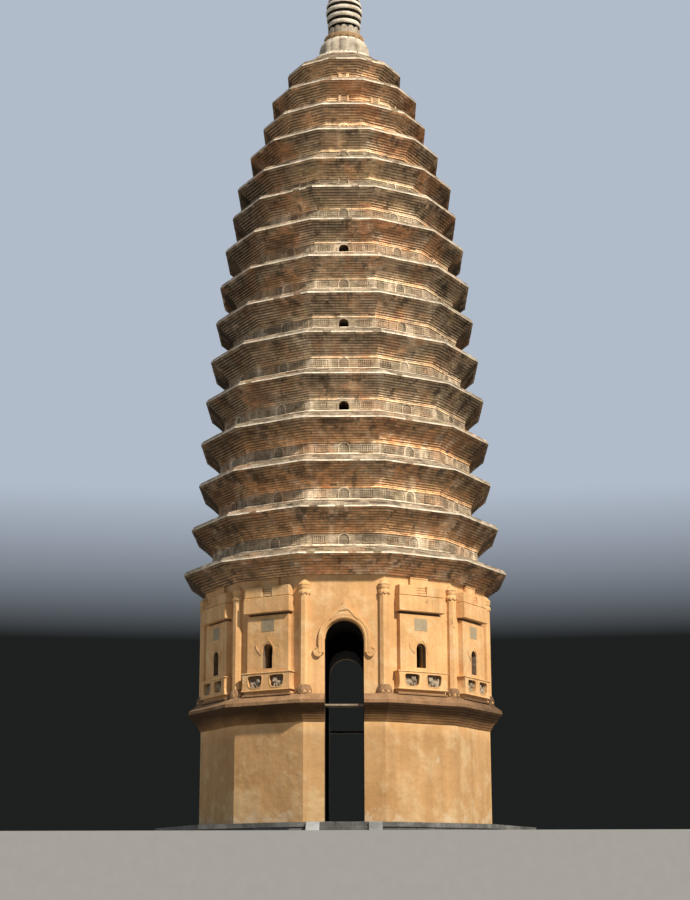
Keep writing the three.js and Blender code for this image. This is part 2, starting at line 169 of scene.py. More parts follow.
def linked(name: str, data: bpy.types.ID) -> bpy.types.Object:
    """New object that shows that data in the scene."""
    made = bpy.data.objects.new(name, data)
    bpy.context.scene.collection.objects.link(made)
    return made


def arc(centre: Pair, radius: float, start: float, end: float, steps: int) -> Outline:
    """Points on an upright arc between two angles in degrees, counted from +X towards +Z."""
    angles = [math.radians(between(start, end, step / steps)) for step in range(steps + 1)]
    return [(centre[0] + radius * math.cos(a), centre[1] + radius * math.sin(a)) for a in angles]


# Finishes


class Graph:
    """Node tree of one procedural finish, ending in a Principled shader."""

    def __init__(self, name: str) -> None:
        """Start an empty tree for a material of that name."""
        self.material = bpy.data.materials.new(name)
        self.material.use_nodes = True
        self.tree = self.material.node_tree
        self.tree.nodes.clear()
        self.shader = self.node("ShaderNodeBsdfPrincipled")
        output = self.node("ShaderNodeOutputMaterial")
        self.tree.links.new(self.shader.outputs[0], output.inputs["Surface"])
        self.place = self.node("ShaderNodeTexCoord").outputs["Object"]
        self.xyz = self.node("ShaderNodeSeparateXYZ", {0: self.place}).outputs

    def mapped(self) -> Sequence[Socket]:
        """Metres along the courses and up them, from the piece's own map."""
        return self.node("ShaderNodeSeparateXYZ", {0: self.node("ShaderNodeUVMap").outputs[0]}).outputs

    def node(self, kind: str, inputs: dict | None = None, **settings: object) -> bpy.types.Node:
        """Add a node.

        Args:
            kind: type name of the node.
            inputs: values or output sockets by input name or number.
            settings: properties set on the node.

        Returns:
            The node.
        """
        made = self.tree.nodes.new(kind)
        for key, value in settings.items():
            setattr(made, key, value)
        for key, value in (inputs or {}).items():
            if isinstance(value, Socket):
                self.tree.links.new(value, made.inputs[key])
            else:
                made.inputs[key].default_value = value
        return made

    def math(self, operation: str, first: object, second: object = 0.0) -> Socket:
        """Arithmetic on two values."""
        return self.node("ShaderNodeMath", {0: first, 1: second}, operation=operation).outputs[0]

    def product(self, *factors: object) -> Socket:
        """All the factors multiplied."""
        result = factors[0]
        for factor in factors[1:]:
            result = self.math("MULTIPLY", result, factor)
        return result

    def total(self, *terms: object) -> Socket:
        """All the terms added."""
        result = terms[0]
        for term in terms[1:]:
            result = self.math("ADD", result, term)
        return result

    def stretched(self, scale: Triple) -> Socket:
        """Object coordinates scaled along each axis."""
        return self.node("ShaderNodeMapping", {"Vector": self.place, "Scale": scale}).outputs[0]

    def noise(self, scale: float, detail: float = 4.0, rough: float = 0.55, vector: object = None) -> Socket:
        """Cloudy value from 0 to 1 with lumps of about one over scale metres."""
        source = self.place if vector is None else vector
        inputs = {"Vector": source, "Scale": scale, "Detail": detail, "Roughness": rough}
        return self.node("ShaderNodeTexNoise", inputs).outputs[0]

    def span(self, value: object, low: float, high: float) -> Socket:
        """Value mapped from low..high to 0..1 and held there."""
        return self.node("ShaderNodeMapRange", {0: value, 1: low, 2: high, 3: 0.0, 4: 1.0}).outputs[0]

    def mix(self, share: object, first: object, second: object) -> Socket:
        """Colour between two colours."""
        pair = [(*c, 1.0) if isinstance(c, tuple) else c for c in (first, second)]
        return self.node("ShaderNodeMix", {0: share, 6: pair[0], 7: pair[1]}, data_type="RGBA").outputs[2]

    def toned(self, colour: object, value: object, low: float, high: float) -> Socket:
        """Colour made darker or lighter where a value runs from 0 to 1."""
        level = self.math("ADD", self.math("MULTIPLY", value, high - low), low)
        return self.node("ShaderNodeVectorMath", {0: colour, "Scale": level}, operation="SCALE").outputs[0]

    def patched(
        self, colour: object, patch: Triple, share: float, value: object, low: float, high: float,
    ) -> Socket:
        """Colour covered by a patch, up to a share, where a value runs from low to high."""
        return self.mix(self.product(self.span(value, low, high), share), colour, patch)

    def facing(self, turn: float) -> Socket:
        """Share by which a point lies towards a turn: 1 on it, 0 at right angles to it or behind."""
        level = self.node("ShaderNodeCombineXYZ", {0: self.xyz[0], 1: self.xyz[1]}).outputs[0]
        unit = self.node("ShaderNodeVectorMath", {0: level}, operation="NORMALIZE").outputs[0]
        inputs = {0: unit, 1: tuple(heading(turn))}
        along = self.node("ShaderNodeVectorMath", inputs, operation="DOT_PRODUCT").outputs["Value"]
        return self.span(along, 0.0, 1.0)

    def face_tone(self) -> Socket:
        """Value of each face: random from -0.5 to 0.5, or lower where a relief is darkened as painted shade.
        """
        return self.node("ShaderNodeAttribute", attribute_name="tone").outputs["Fac"]

    def finish(self, colour: object, rough: float, height: object, depth: float) -> Coat:
        """Feed the shader.

        Args:
            colour: base colour socket.
            rough: roughness.
            height: bump height socket.
            depth: real height of the bump in metres.

        Returns:
            The finished material.
        """
        bump = self.node("ShaderNodeBump", {"Height": height, "Distance": depth})
        self.tree.links.new(colour, self.shader.inputs["Base Color"])
        self.tree.links.new(bump.outputs[0], self.shader.inputs["Normal"])
        self.shader.inputs["Roughness"].default_value = rough
        self.shader.inputs["Specular IOR Level"].default_value = 0.2
        return self.material


@dataclass(frozen=True)
class OchrePlaster:
    """Lime plaster washed with ochre, mottled, streaked by rain, bleached near the ground, with painted shade
    low down and indoors.
    """

    name: str = "ochre_plaster"
    wash: Triple = (0.67, 0.395, 0.175)
    deep: Triple = (0.54, 0.300, 0.122)
    pale: Triple = (0.76, 0.530, 0.295)
    bleached: Triple = (0.52, 0.370, 0.195)
    lime: Triple = (0.56, 0.47, 0.34)
    bare: Triple = (0.36, 0.235, 0.135)
    soot_and_shade: Triple = (0.020, 0.015, 0.011)
    lower_wall_shade: float = 0.70
    splash_reach: float = 1.6
    flake_reach: float = 0.7
    damp_reach: Pair = (0.42, 0.10)
    room_shade_radius: Pair = (5.37, 5.08)

    def make(self) -> Coat:
        """Build the material."""
        g = Graph(self.name)
        x, y, z = g.xyz
        radius = g.math("POWER", g.total(g.math("POWER", x, 2.0), g.math("POWER", y, 2.0)), 0.5)
        colour = g.mix(g.span(g.noise(0.5, 6.0, 0.6), 0.36, 0.66), self.wash, self.deep)
        colour = g.patched(colour, self.pale, 0.55, g.noise(1.6, 6.0, 0.62), 0.5, 0.72)
        streaks = g.noise(1.0, 5.0, 0.6, g.stretched((3.2, 3.2, 0.16)))
        colour = g.toned(colour, g.span(streaks, 0.28, 0.72), 0.84, 1.10)
        colour = g.toned(colour, g.noise(7.0, 6.0, 0.75), 0.82, 1.17)
        # Painted shade: the lower wall darkens below the waist.
        colour = g.toned(colour, g.span(z, WALL_TOP + 0.1, WALL_TOP - 0.5), 1.0, self.lower_wall_shade)
        height = g.span(z, FLOOR_LEVEL, FLOOR_LEVEL + self.splash_reach)
        splash = g.total(g.noise(0.8, 6.0, 0.65), g.product(height, -0.16))
        colour = g.patched(colour, self.bleached, 0.5, splash, 0.38, 0.54)
        height = g.span(z, FLOOR_LEVEL, FLOOR_LEVEL + self.flake_reach)
        flaked = g.total(g.noise(1.4, 5.0, 0.6), g.product(height, -0.2))
        colour = g.patched(colour, self.lime, 0.35, flaked, 0.46, 0.52)
        wet = g.total(z, g.product(g.noise(2.0, 5.0, 0.7), 0.5))
        dry, soaked = (FLOOR_LEVEL + reach for reach in self.damp_reach)
        colour = g.toned(colour, g.span(wet, dry, soaked), 1.0, 0.62)
        chips = g.span(g.noise(1.1, 9.0, 0.78), 0.665, 0.69)
        colour = g.mix(g.product(chips, 0.7), colour, self.bare)
        # Painted shade with sooty dark: faces inside the doorways, niches and room turn very dark.
        colour = g.mix(g.span(radius, *self.room_shade_radius), colour, self.soot_and_shade)
        grain = g.noise(24.0, 4.0, 0.65)
        relief = g.total(g.noise(1.6, 4.0), g.product(grain, 0.07), g.product(chips, -0.22))
        return g.finish(colour, 0.93, relief, 0.05)


@dataclass(frozen=True)
class WaistWash:
    """Thin ochre wash over the corbelled courses of the waist, darkened towards the lip as painted shade."""

    name: str = "waist_wash"
    wash: Triple = (0.31, 0.160, 0.062)
    deep: Triple = (0.20, 0.100, 0.037)
    shade_black: Triple = (0.042, 0.022, 0.010)
    row: float = 0.1

    def make(self) -> Coat:
        """Build the material."""
        g = Graph(self.name)
        colour = g.mix(g.span(g.noise(0.9, 6.0, 0.65), 0.4, 0.62), self.wash, self.deep)
        colour = g.toned(colour, g.face_tone(), 1.0, 1.12)
        # Painted shade: very dark towards the top, under the ledge's lip.
        depth = g.total(g.xyz[2], g.product(g.noise(1.2, 5.0, 0.6), 0.5))
        colour = g.patched(colour, self.shade_black, 0.9, depth, WALL_TOP + 0.16, WAIST_LEVEL + 0.02)
        # Painted shade along the foot of each course.
        course = g.math("FRACT", g.math("DIVIDE", g.mapped()[1], self.row))
        colour = g.toned(colour, g.span(course, 0.0, 0.3), 0.84, 1.03)
        colour = g.toned(colour, g.noise(9.0, 6.0, 0.75), 0.80, 1.20)
        relief = g.total(g.noise(5.0, 5.0, 0.6), g.product(g.noise(26.0, 4.0, 0.7), 0.3))
        return g.finish(colour, 0.94, relief, 0.015)


class Lay(Enum):
    """How the bricks of a finish follow the surface."""

    MAPPED = "along the piece's own map"
    ROUND = "round the tower's axis"


@dataclass(frozen=True)
class CourseBrick:
    """Thin grey-brown bricks in clay mortar, sooty and stained by lime, lichen and rust, with painted light
    and shade.
    """

    name: str
    lay: Lay = Lay.MAPPED
    bricks_around: int = 110
    face: Triple = (0.70, 0.510, 0.310)
    deep: Triple = (0.53, 0.365, 0.215)
    joint: Triple = (0.27, 0.195, 0.130)
    lime: Triple = (0.80, 0.65, 0.47)
    soot_and_shade: Triple = (0.110, 0.078, 0.052)
    rust: Triple = (0.58, 0.285, 0.125)
    lichen: Triple = (0.33, 0.290, 0.150)
    lime_share: float = 0.50
    rust_share: float = 0.60
    soot_share: float = 0.60
    lichen_share: float = 0.35
    bed_shade: float = 0.40
    foot_painted_light: float = 1.0
    lip_soot_and_shade: float = 0.0
    painted_far_side_tone: float = 0.55
    painted_sun_side_tone: float = 1.42
    joint_width: float = 0.006
    row: float = 0.080
    length: float = 0.31

    def make(self) -> Coat:
        """Build the material."""
        g = Graph(self.name)
        vector = self.laid(g)
        inputs = {
            "Vector": vector,
            "Color1": (*self.face, 1.0),
            "Color2": (*self.deep, 1.0),
            "Mortar": (*self.joint, 1.0),
            "Scale": 1.0,
            "Mortar Size": self.joint_width,
            "Mortar Smooth": 0.2,
            "Bias": -0.2,
            "Brick Width": self.length,
            "Row Height": self.row,
        }
        bricks = g.node("ShaderNodeTexBrick", inputs, offset=0.5, offset_frequency=2)
        colour = g.patched(bricks.outputs[0], self.rust, self.rust_share, g.noise(0.42, 5.0, 0.6), 0.50, 0.60)
        washed = g.noise(1.0, 5.0, 0.6, g.stretched((1.7, 1.7, 0.4)))
        colour = g.patched(colour, self.lime, self.lime_share, washed, 0.52, 0.64)
        colour = g.patched(colour, self.lichen, self.lichen_share, g.noise(0.9, 6.0, 0.65), 0.54, 0.66)
        height = g.node("ShaderNodeSeparateXYZ", {0: vector}).outputs[1]
        stain = g.noise(1.0, 6.0, 0.65, g.stretched((0.7, 0.7, 1.5)))
        colour = g.patched(colour, self.soot_and_shade, self.soot_share, stain, 0.53, 0.64)
        # Sooty drips, thicker towards the lip, where they also stand for painted shade.
        drips = g.noise(1.0, 5.0, 0.65, g.stretched((2.2, 2.2, 0.5)))
        drips = g.total(drips, g.product(height, self.lip_soot_and_shade))
        colour = g.patched(colour, self.soot_and_shade, 0.7, drips, 0.60, 0.67)
        colour = g.toned(colour, g.face_tone(), 1.0, 1.30)
        colour = g.toned(colour, g.span(g.noise(5.0, 6.0, 0.75), 0.3, 0.7), 0.68, 1.34)
        blotches = g.noise(1.4, 5.0, 0.65, g.stretched((1.0, 1.0, 1.8)))
        colour = g.toned(colour, g.span(blotches, 0.34, 0.66), 0.76, 1.26)
        # Painted light: the courses are lighter towards the corbel's foot.
        colour = g.toned(colour, g.span(height, 0.6, 0.05), 1.0, self.foot_painted_light)
        # Painted shade along the foot of each course, over its dark joint.
        bed = g.span(g.math("FRACT", g.math("DIVIDE", height, self.row)), 0.05, 0.40)
        colour = g.toned(colour, bed, self.bed_shade, 1.10)
        # Painted light and shade: each side toned by how far it turns towards the key light.
        sunward = g.facing(PAINTED_SUN_TURN)
        colour = g.toned(colour, g.product(sunward, sunward), self.painted_far_side_tone, self.painted_sun_side_tone)
        relief = g.total(g.product(bricks.outputs[1], -0.6), g.product(g.noise(26.0, 4.0, 0.7), 0.5))
        return g.finish(colour, 0.95, relief, 0.010)

    def laid(self, g: Graph) -> Socket:
        """Coordinates along the courses."""
        if self.lay is Lay.MAPPED:
            return g.node("ShaderNodeUVMap").outputs[0]
        x, y, z = g.xyz
        along = g.product(g.math("ARCTAN2", y, x), self.bricks_around * self.length / math.tau)
        return g.node("ShaderNodeCombineXYZ", {0: along, 1: z}).outputs[0]


@dataclass(frozen=True)
class LimeMortar:
    """Pale lime mortar laid on edges and ledges, stained and broken away down to the brick, with painted
    light and shade by side.
    """

    name: str = "lime_mortar"
    pale: Triple = (0.90, 0.78, 0.60)
    stained: Triple = (0.56, 0.46, 0.33)
    brick: Triple = (0.27, 0.175, 0.100)
    worn: float = 0.35
    painted_light_turn: float = -10

    def make(self) -> Coat:
        """Build the material."""
        g = Graph(self.name)
        colour = g.mix(g.span(g.noise(1.9, 6.0, 0.7), 0.46, 0.68), self.pale, self.stained)
        broken = g.span(g.noise(3.1, 6.0, 0.72), 0.54, 0.60)
        colour = g.mix(g.product(broken, self.worn), colour, self.brick)
        colour = g.toned(colour, g.face_tone(), 1.0, 1.25)
        colour = g.toned(colour, g.noise(16.0, 5.0, 0.75), 0.74, 1.22)
        # Painted light and shade: darker on the sides turned away from the painted light's turn.
        colour = g.toned(colour, g.facing(self.painted_light_turn), 0.36, 1.08)
        relief = g.total(g.noise(6.0, 5.0, 0.6), g.product(g.noise(40.0, 3.0), 0.3), g.product(broken, -0.4))
        return g.finish(colour, 0.94, relief, 0.02)


@dataclass(frozen=True)
class CutStone:
    """Dressed stone with its own tone for each block, tool marks and damp stains."""

    name: str
    clean: Triple = (0.135, 0.132, 0.124)
    damp: Triple = (0.058, 0.056, 0.051)
    crust: Triple = (0.27, 0.255, 0.220)
    crust_share: float = 0.35
    lump: float = 0.9

    def make(self) -> Coat:
        """Build the material."""
        g = Graph(self.name)
        colour = g.mix(g.span(g.noise(self.lump, 6.0, 0.65), 0.42, 0.68), self.clean, self.damp)
        colour = g.patched(colour, self.crust, self.crust_share, g.noise(3.4, 6.0, 0.7), 0.54, 0.68)
        colour = g.toned(colour, g.face_tone(), 1.0, 1.4)
        colour = g.toned(colour, g.noise(18.0, 5.0, 0.75), 0.78, 1.20)
        chisel = g.noise(1.0, 3.0, 0.6, g.stretched((18.0, 18.0, 60.0)))
        relief = g.total(g.noise(7.0, 5.0, 0.6), g.product(chisel, 0.3))
        return g.finish(colour, 0.88, relief, 0.012)


@dataclass(frozen=True)
class Finishes:
    """All the finishes of the tower, made once."""

    plaster: Coat
    waist: Coat
    low_eave: Coat
    mid_eave: Coat
    top_eave: Coat
    low_neck: Coat
    mid_neck: Coat
    top_neck: Coat
    setback: Coat
    mortar: Coat
    ledge: Coat
    slate: Coat
    cheek: Coat
    bell_stone: Coat
    pale_stone: Coat
    cup_stone: Coat
    lintel: Coat
    plaque: Coat
    grime_and_shade: Coat
    shade_black: Coat

    @classmethod
    def mixed(cls) -> "Finishes":
        """Make every finish."""
        # Painted shade for the necks and setbacks: their sides towards the key light are darkened.
        plain = {"painted_far_side_tone": 1.0, "painted_sun_side_tone": 0.8}
        red = {
            "face": (0.62, 0.355, 0.170), "deep": (0.48, 0.262, 0.118), "rust_share": 0.35, "bed_shade": 0.6,
            "lime_share": 0.45, "foot_painted_light": 1.3, "lip_soot_and_shade": 0.12,
        }
        fresh = {
            "face": (0.86, 0.580, 0.340), "deep": (0.70, 0.435, 0.240), "soot_share": 0.2, "bed_shade": 0.55,
            "lime_share": 0.2, "lichen_share": 0.2, "painted_far_side_tone": 0.75,
        }
        wall = {
            "face": (0.42, 0.335, 0.230), "deep": (0.31, 0.240, 0.160), "bed_shade": 0.76, "lime_share": 0.7,
            "lay": Lay.ROUND, **plain,
        }
        dusty = {
            "face": (0.40, 0.315, 0.220), "deep": (0.29, 0.220, 0.150), "bed_shade": 0.74, "rust_share": 0.3,
            **plain,
        }
        stones = {
            "slate": CutStone("slate_blocks"),
            "cheek": CutStone("cheek_stone", (0.27, 0.275, 0.27), (0.17, 0.17, 0.16), (0.40, 0.39, 0.36)),
            "bell_stone": CutStone("bell_stone", (0.54, 0.46, 0.35), (0.19, 0.145, 0.10), (0.78, 0.70, 0.58)),
            "pale_stone": CutStone("finial_stone", (0.78, 0.7, 0.56), (0.42, 0.34, 0.24), (0.92, 0.85, 0.73)),
            "cup_stone": CutStone("cup_stone", (0.42, 0.26, 0.13), (0.24, 0.145, 0.075), (0.60, 0.45, 0.29)),
            "lintel": CutStone("lintel_stone", (0.33, 0.26, 0.18), (0.15, 0.115, 0.075), (0.48, 0.42, 0.33)),
            "plaque": CutStone("plaque_stone", (0.31, 0.245, 0.15), (0.21, 0.17, 0.11), (0.37, 0.30, 0.20)),
            # Dark joints and grime, and painted shade where it lines recesses.
            "grime_and_shade": CutStone("recess_grime_and_shade", (0.20, 0.135, 0.085), (0.09, 0.06, 0.04), (0.36, 0.26, 0.17)),
            # Painted shade: very dark for the finial's shaded undersides and cores.
            "shade_black": CutStone("painted_shade_black", (0.035, 0.028, 0.022), (0.018, 0.015, 0.012), (0.09, 0.07, 0.05)),
        }
        for carved in ("bell_stone", "pale_stone", "cup_stone"):
            stones[carved] = replace(stones[carved], lump=2.2)
        bricks = {
            "low_eave": CourseBrick("low_eave_brick", **red),
            "mid_eave": CourseBrick("mid_eave_brick", bed_shade=0.5, foot_painted_light=1.1, lip_soot_and_shade=0.10),
            "top_eave": CourseBrick("top_eave_brick", **fresh),
            "low_neck": CourseBrick("low_neck_brick", bricks_around=110, rust_share=0.4, **wall),
            "mid_neck": CourseBrick("mid_neck_brick", bricks_around=96, rust_share=0.3, **wall),
            "top_neck": CourseBrick("top_neck_brick", bricks_around=60, rust_share=0.7, **wall),
            "setback": CourseBrick("setback_brick", **dusty),
        }
        coats = {
            "plaster": OchrePlaster(),
            "waist": WaistWash(),
            "mortar": LimeMortar(),
            "ledge": LimeMortar("ledge_mortar", (0.29, 0.165, 0.083), (0.19, 0.105, 0.05), worn=0.12),
        }
        return cls(**{use: finish.make() for use, finish in (coats | bricks | stones).items()})

    def by_tier(self, number: int, part: str) -> Coat:
        """Finish of an eave or a neck in the lowest, the middle or the top tiers.

        Args:
            number: number of the tier, from 1 at the bottom.
            part: "eave" or "neck".

        Returns:
            The finish.
        """
        if number <= LAST_LOW_TIER:
            return getattr(self, f"low_{part}")
        return getattr(self, f"top_{part}" if number >= FIRST_TOP_TIER else f"mid_{part}")


# Mesh making


class Sketch:
    """A mesh under construction, shaped with bmesh operators."""

    def __init__(self, seed: int = 0) -> None:
        """Start an empty mesh with its own seeded chance."""
        self.bm = bmesh.new()
        self.tone = self.bm.faces.layers.float.new("tone")
        self.chance = random.Random(seed)

    def mark(self, faces: Iterable[bmesh.types.BMFace], slot: int, tone: float | None = None) -> None:
        """Give faces a material slot and one random tone, or the stated one."""
        value = self.chance.uniform(-0.5, 0.5) if tone is None else tone
        for face in faces:
            face.material_index = slot
            face[self.tone] = value

    def toned(self, verts: Verts, tone: float) -> None:
        """Give the faces round some vertices a stated tone."""
        for face in distinct(face for vert in verts for face in vert.link_faces):
            face[self.tone] = tone

    def close(self, old: set, slot: int, tone: float | None = None) -> Verts:
        """Turn the faces of all vertices that are not old outwards and mark them.

        Args:
            old: vertices that were there before.
            slot: material slot.
            tone: tone of the faces, or none for a random one.

        Returns:
            The new vertices.
        """
        fresh = [vert for vert in self.bm.verts if vert not in old]
        faces = distinct(face for vert in fresh for face in vert.link_faces)
        bmesh.ops.recalc_face_normals(self.bm, faces=faces)
        self.mark(faces, slot, tone)
        return fresh

    def loop(self, points: Iterable[Vector | Triple]) -> tuple[Verts, Edges]:
        """Add vertices at some points, joined by edges into a closed loop."""
        ring = [self.bm.verts.new(point) for point in points]
        return ring, [self.bm.edges.new(pair) for pair in zip(ring, ring[1:] + ring[:1])]

    def spin_profile(
        self, profile: Profile, slot: int = 0, sides: int = SIDES, centre: Triple = (0, 0, 0),
    ) -> Faces:
        """Turn a closed profile of (radius, height) corners round an upright axis.

        Args:
            profile: corners in order.
            slot: material slot of the new faces.
            sides: number of sides.
            centre: foot of the axis.

        Returns:
            The new faces.
        """
        old = set(self.bm.faces)
        middle = Vector(centre)
        start = heading(-180 / sides)
        ring, edges = self.loop(middle + start * out + Vector((0, 0, height)) for out, height in profile)
        bmesh.ops.spin(
            self.bm, geom=ring + edges, cent=middle, axis=(0, 0, 1), dvec=(0, 0, 0),
            angle=math.tau, steps=sides, use_merge=True, use_normal_flip=False, use_duplicate=False,
        )
        verts = distinct(vert for face in self.bm.faces if face not in old for vert in face.verts)
        bmesh.ops.remove_doubles(self.bm, verts=verts, dist=1e-5)
        faces = [face for face in self.bm.faces if face not in old]
        bmesh.ops.recalc_face_normals(self.bm, faces=faces)
        self.mark(faces, slot, 0.0)
        return faces

    def block(self, low: Triple, high: Triple, slot: int = 0, bevel: float = 0.0) -> Verts:
        """Add a block between two corners, with worn edges of a stated width."""
        old = set(self.bm.verts)
        size = [h - l for l, h in zip(low, high)]
        middle = [(h + l) / 2 for l, h in zip(low, high)]
        place = Matrix.Translation(middle) @ Matrix.Diagonal((*size, 1.0))
        made = bmesh.ops.create_cube(self.bm, size=1.0, matrix=place)
        self.soften(made["verts"], bevel)
        return self.close(old, slot)

    def bevel(self, edges: Edges, width: float) -> Faces:
        """Cut edges off to a width and give the new faces."""
        made = bmesh.ops.bevel(
            self.bm, geom=edges, offset=width, offset_type="OFFSET", segments=1, profile=0.5,
            affect="EDGES", clamp_overlap=True, material=-1,
        )
        return made["faces"]

    def soften(self, verts: Verts, bevel: float) -> None:
        """Bevel the edges between some vertices."""
        if bevel > 0:
            self.bevel(distinct(edge for vert in verts for edge in vert.link_edges), bevel)

    def extrude(self, faces: Faces, keep: bool = False) -> tuple[Verts, Faces]:
        """Extrude faces on the spot and give the vertices and faces to move; keep leaves the old faces."""
        made = bmesh.ops.extrude_face_region(self.bm, geom=faces, use_keep_orig=keep)
        return only(made["geom"], bmesh.types.BMVert), only(made["geom"], bmesh.types.BMFace)

    def push(self, faces: Faces, step: Triple) -> None:
        """Give open faces a thickness: copy them along a step and close the sides."""
        moved, _ = self.extrude(faces, True)
        bmesh.ops.translate(self.bm, verts=moved, vec=step)

    def turn(self, verts: Verts, matrix: Matrix) -> None:
        """Rotate vertices about the origin."""
        bmesh.ops.rotate(self.bm, verts=verts, cent=(0, 0, 0), matrix=matrix)

    def slab(self, outline: Profile, near: float, far: float, slot: int = 0, bevel: float = 0.0) -> Verts:
        """Extrude an upright outline of (across, height) corners along the depth, from near to far."""
        old = set(self.bm.verts)
        face = self.bm.faces.new([self.bm.verts.new((across, near, height)) for across, height in outline])
        self.push([face], (0, far - near, 0))
        self.soften([vert for vert in self.bm.verts if vert not in old], bevel)
        return self.close(old, slot)

    def ridge(self, path: Profile, width: float, near: float, far: float, slot: int = 0) -> Verts:
        """Add a raised line of constant width along an upright path."""
        outer, inner = [], []
        for index, point in enumerate(path):
            before = path[max(index - 1, 0)]
            after = path[min(index + 1, len(path) - 1)]
            run = Vector((after[0] - before[0], after[1] - before[1])).normalized() * (width / 2)
            outer.append((point[0] - run.y, point[1] + run.x))
            inner.append((point[0] + run.y, point[1] - run.x))
        return self.slab(outer + inner[::-1], near, far, slot)

    def framed(
        self, cell: tuple[float, float, float, float], hole: Profile, near: float, far: float,
    ) -> Verts:
        """Add an upright plate with a hole through it.

        Args:
            cell: left, foot, right and top of the plate.
            hole: outline of the hole as (across, height).
            near: depth of its face.
            far: depth of its back.

        Returns:
            The new vertices.
        """
        left, foot, right, top = cell
        across = sum(x for x, _ in hole) / len(hole)
        height = sum(z for _, z in hole) / len(hole)
        rim = []
        for x, z in hole:
            side = (right if x > across else left) - across
            end = (top if z > height else foot) - height
            reach = min(side / (x - across or 1e-9), end / (z - height or 1e-9), key=abs)
            rim.append((across + (x - across) * abs(reach), height + (z - height) * abs(reach)))
        for corner in ((left, foot), (right, foot), (right, top), (left, top)):
            nearest = min(range(len(rim)), key=lambda index: math.dist(rim[index], corner))
            rim[nearest] = corner
        old = set(self.bm.verts)
        edges = []
        for outline in (rim, hole):
            edges += self.loop((x, near, z) for x, z in outline)[1]
        made = bmesh.ops.bridge_loops(self.bm, edges=edges)
        self.push(made["faces"], (0, far - near, 0))
        return self.close(old, 0, 0.0)

    def ball(self, centre: Triple, radii: Triple, slot: int = 0) -> Verts:
        """Add an egg with those radii."""
        old = set(self.bm.verts)
        place = Matrix.Translation(centre) @ Matrix.Diagonal((*radii, 1.0))
        bmesh.ops.create_uvsphere(self.bm, u_segments=12, v_segments=8, radius=1.0, matrix=place)
        return self.close(old, slot)

    def arch_band(self, half: float, spring: float, foot: float, band: Profile, steps: int) -> Verts:
        """Bend a cross-section round an arch and run it down to its feet.

        Args:
            half: radius of the arch's inner line.
            spring: height where the arch starts.
            foot: height of the feet.
            band: cross-section as (outwards from the inner line, depth).
            steps: number of steps round the arch.

        Returns:
            The new vertices.
        """
        old = set(self.bm.verts)
        ring = [self.bm.verts.new((half + out, depth, spring)) for out, depth in band]
        bent = bmesh.ops.spin(
            self.bm, geom=[self.bm.faces.new(ring)], cent=(0, 0, spring), axis=(0, -1, 0), dvec=(0, 0, 0),
            angle=math.pi, steps=steps, use_merge=False, use_normal_flip=False, use_duplicate=False,
        )
        ends = only(bent["geom_last"], bmesh.types.BMFace)
        ends += [face for face in self.bm.faces if set(face.verts) <= set(ring)]
        for end in ends:
            moved, _ = self.extrude([end])
            bmesh.ops.translate(self.bm, verts=moved, vec=(0, 0, foot - spring))
        return self.close(old, 0, 0.0)

    def scroll(self, centre: Triple, side: int, radius: float, ridge: float, turns: float) -> None:
        """Wind a tapering ridge inwards to an eye, as the end of a hood curls.

        Args:
            centre: middle of the curl on the wall face.
            side: 1 curls to the right, -1 to the left.
            radius: outer radius.
            ridge: width of the ridge where it starts.
            turns: number of turns.
        """
        steps_per_turn, inner_share = 12, 0.25
        taper = inner_share ** (1 / (turns * steps_per_turn))
        old = set(self.bm.verts)
        x, y, z = centre
        section = [(-1, 0), (-0.6, -1.6), (0.6, -1.6), (1, 0)]
        ring = [self.bm.verts.new((x, y + depth * ridge, z + radius + out * ridge)) for out, depth in section]
        end = self.bm.faces.new(ring)
        self.bm.faces.new([self.bm.verts.new(vert.co) for vert in reversed(ring)])
        turn = Matrix.Rotation(side * math.tau / steps_per_turn, 3, "Y")
        for _ in range(round(turns * steps_per_turn)):
            moved, (end,) = self.extrude([end])
            bmesh.ops.rotate(self.bm, verts=moved, cent=centre, matrix=turn)
            space = Matrix.Translation(centre).inverted()
            bmesh.ops.scale(self.bm, verts=moved, vec=(taper, taper, taper), space=space)
        wound = [vert for vert in self.bm.verts if vert not in old]
        bmesh.ops.remove_doubles(self.bm, verts=wound, dist=1e-6)
        self.close(old, 0, 0.0)
        self.ball((x, y - ridge * 0.5, z), (radius * 0.2,) * 3)

    def wobble(self, verts: Iterable[bmesh.types.BMVert], reach: float, scale: float = 1.3) -> None:
        """Shift vertices a little, as hand-laid work sits."""
        for vert in verts:
            vert.co += noise.noise_vector(vert.co * scale) * reach

    def divide_sides(self, faces: Faces, cuts: int) -> Edges:
        """Cut the sides of a twelve-sided form into equal lengths and give the new edges."""
        edges = [edge for edge in distinct(edge for face in faces for edge in face.edges) if along_side(edge)]
        made = bmesh.ops.subdivide_edges(self.bm, edges=edges, cuts=cuts, use_grid_fill=True)
        return only(made["geom_inner"], bmesh.types.BMEdge)

    def map_sides(self, row: float, start: float, rise: float | None = None) -> None:
        """Map every face in metres along its side of the tower and up its courses.

        Args:
            row: height of a course in the finish.
            start: height where the first course starts.
            rise: real height of a course where it differs from the finish.
        """
        layer = self.bm.loops.layers.uv.verify()
        scale = row / (rise or row)
        for face in self.bm.faces:
            middle = face.calc_center_median()
            side = side_of(middle)
            along = heading(side * SIDE_TURN + 90)
            level = abs(face.normal.z) > 0.7
            for loop in face.loops:
                height = middle.z + row * 0.02 if level else loop.vert.co.z
                loop[layer].uv = (loop.vert.co.dot(along) + side * 0.137, (height - start) * scale)

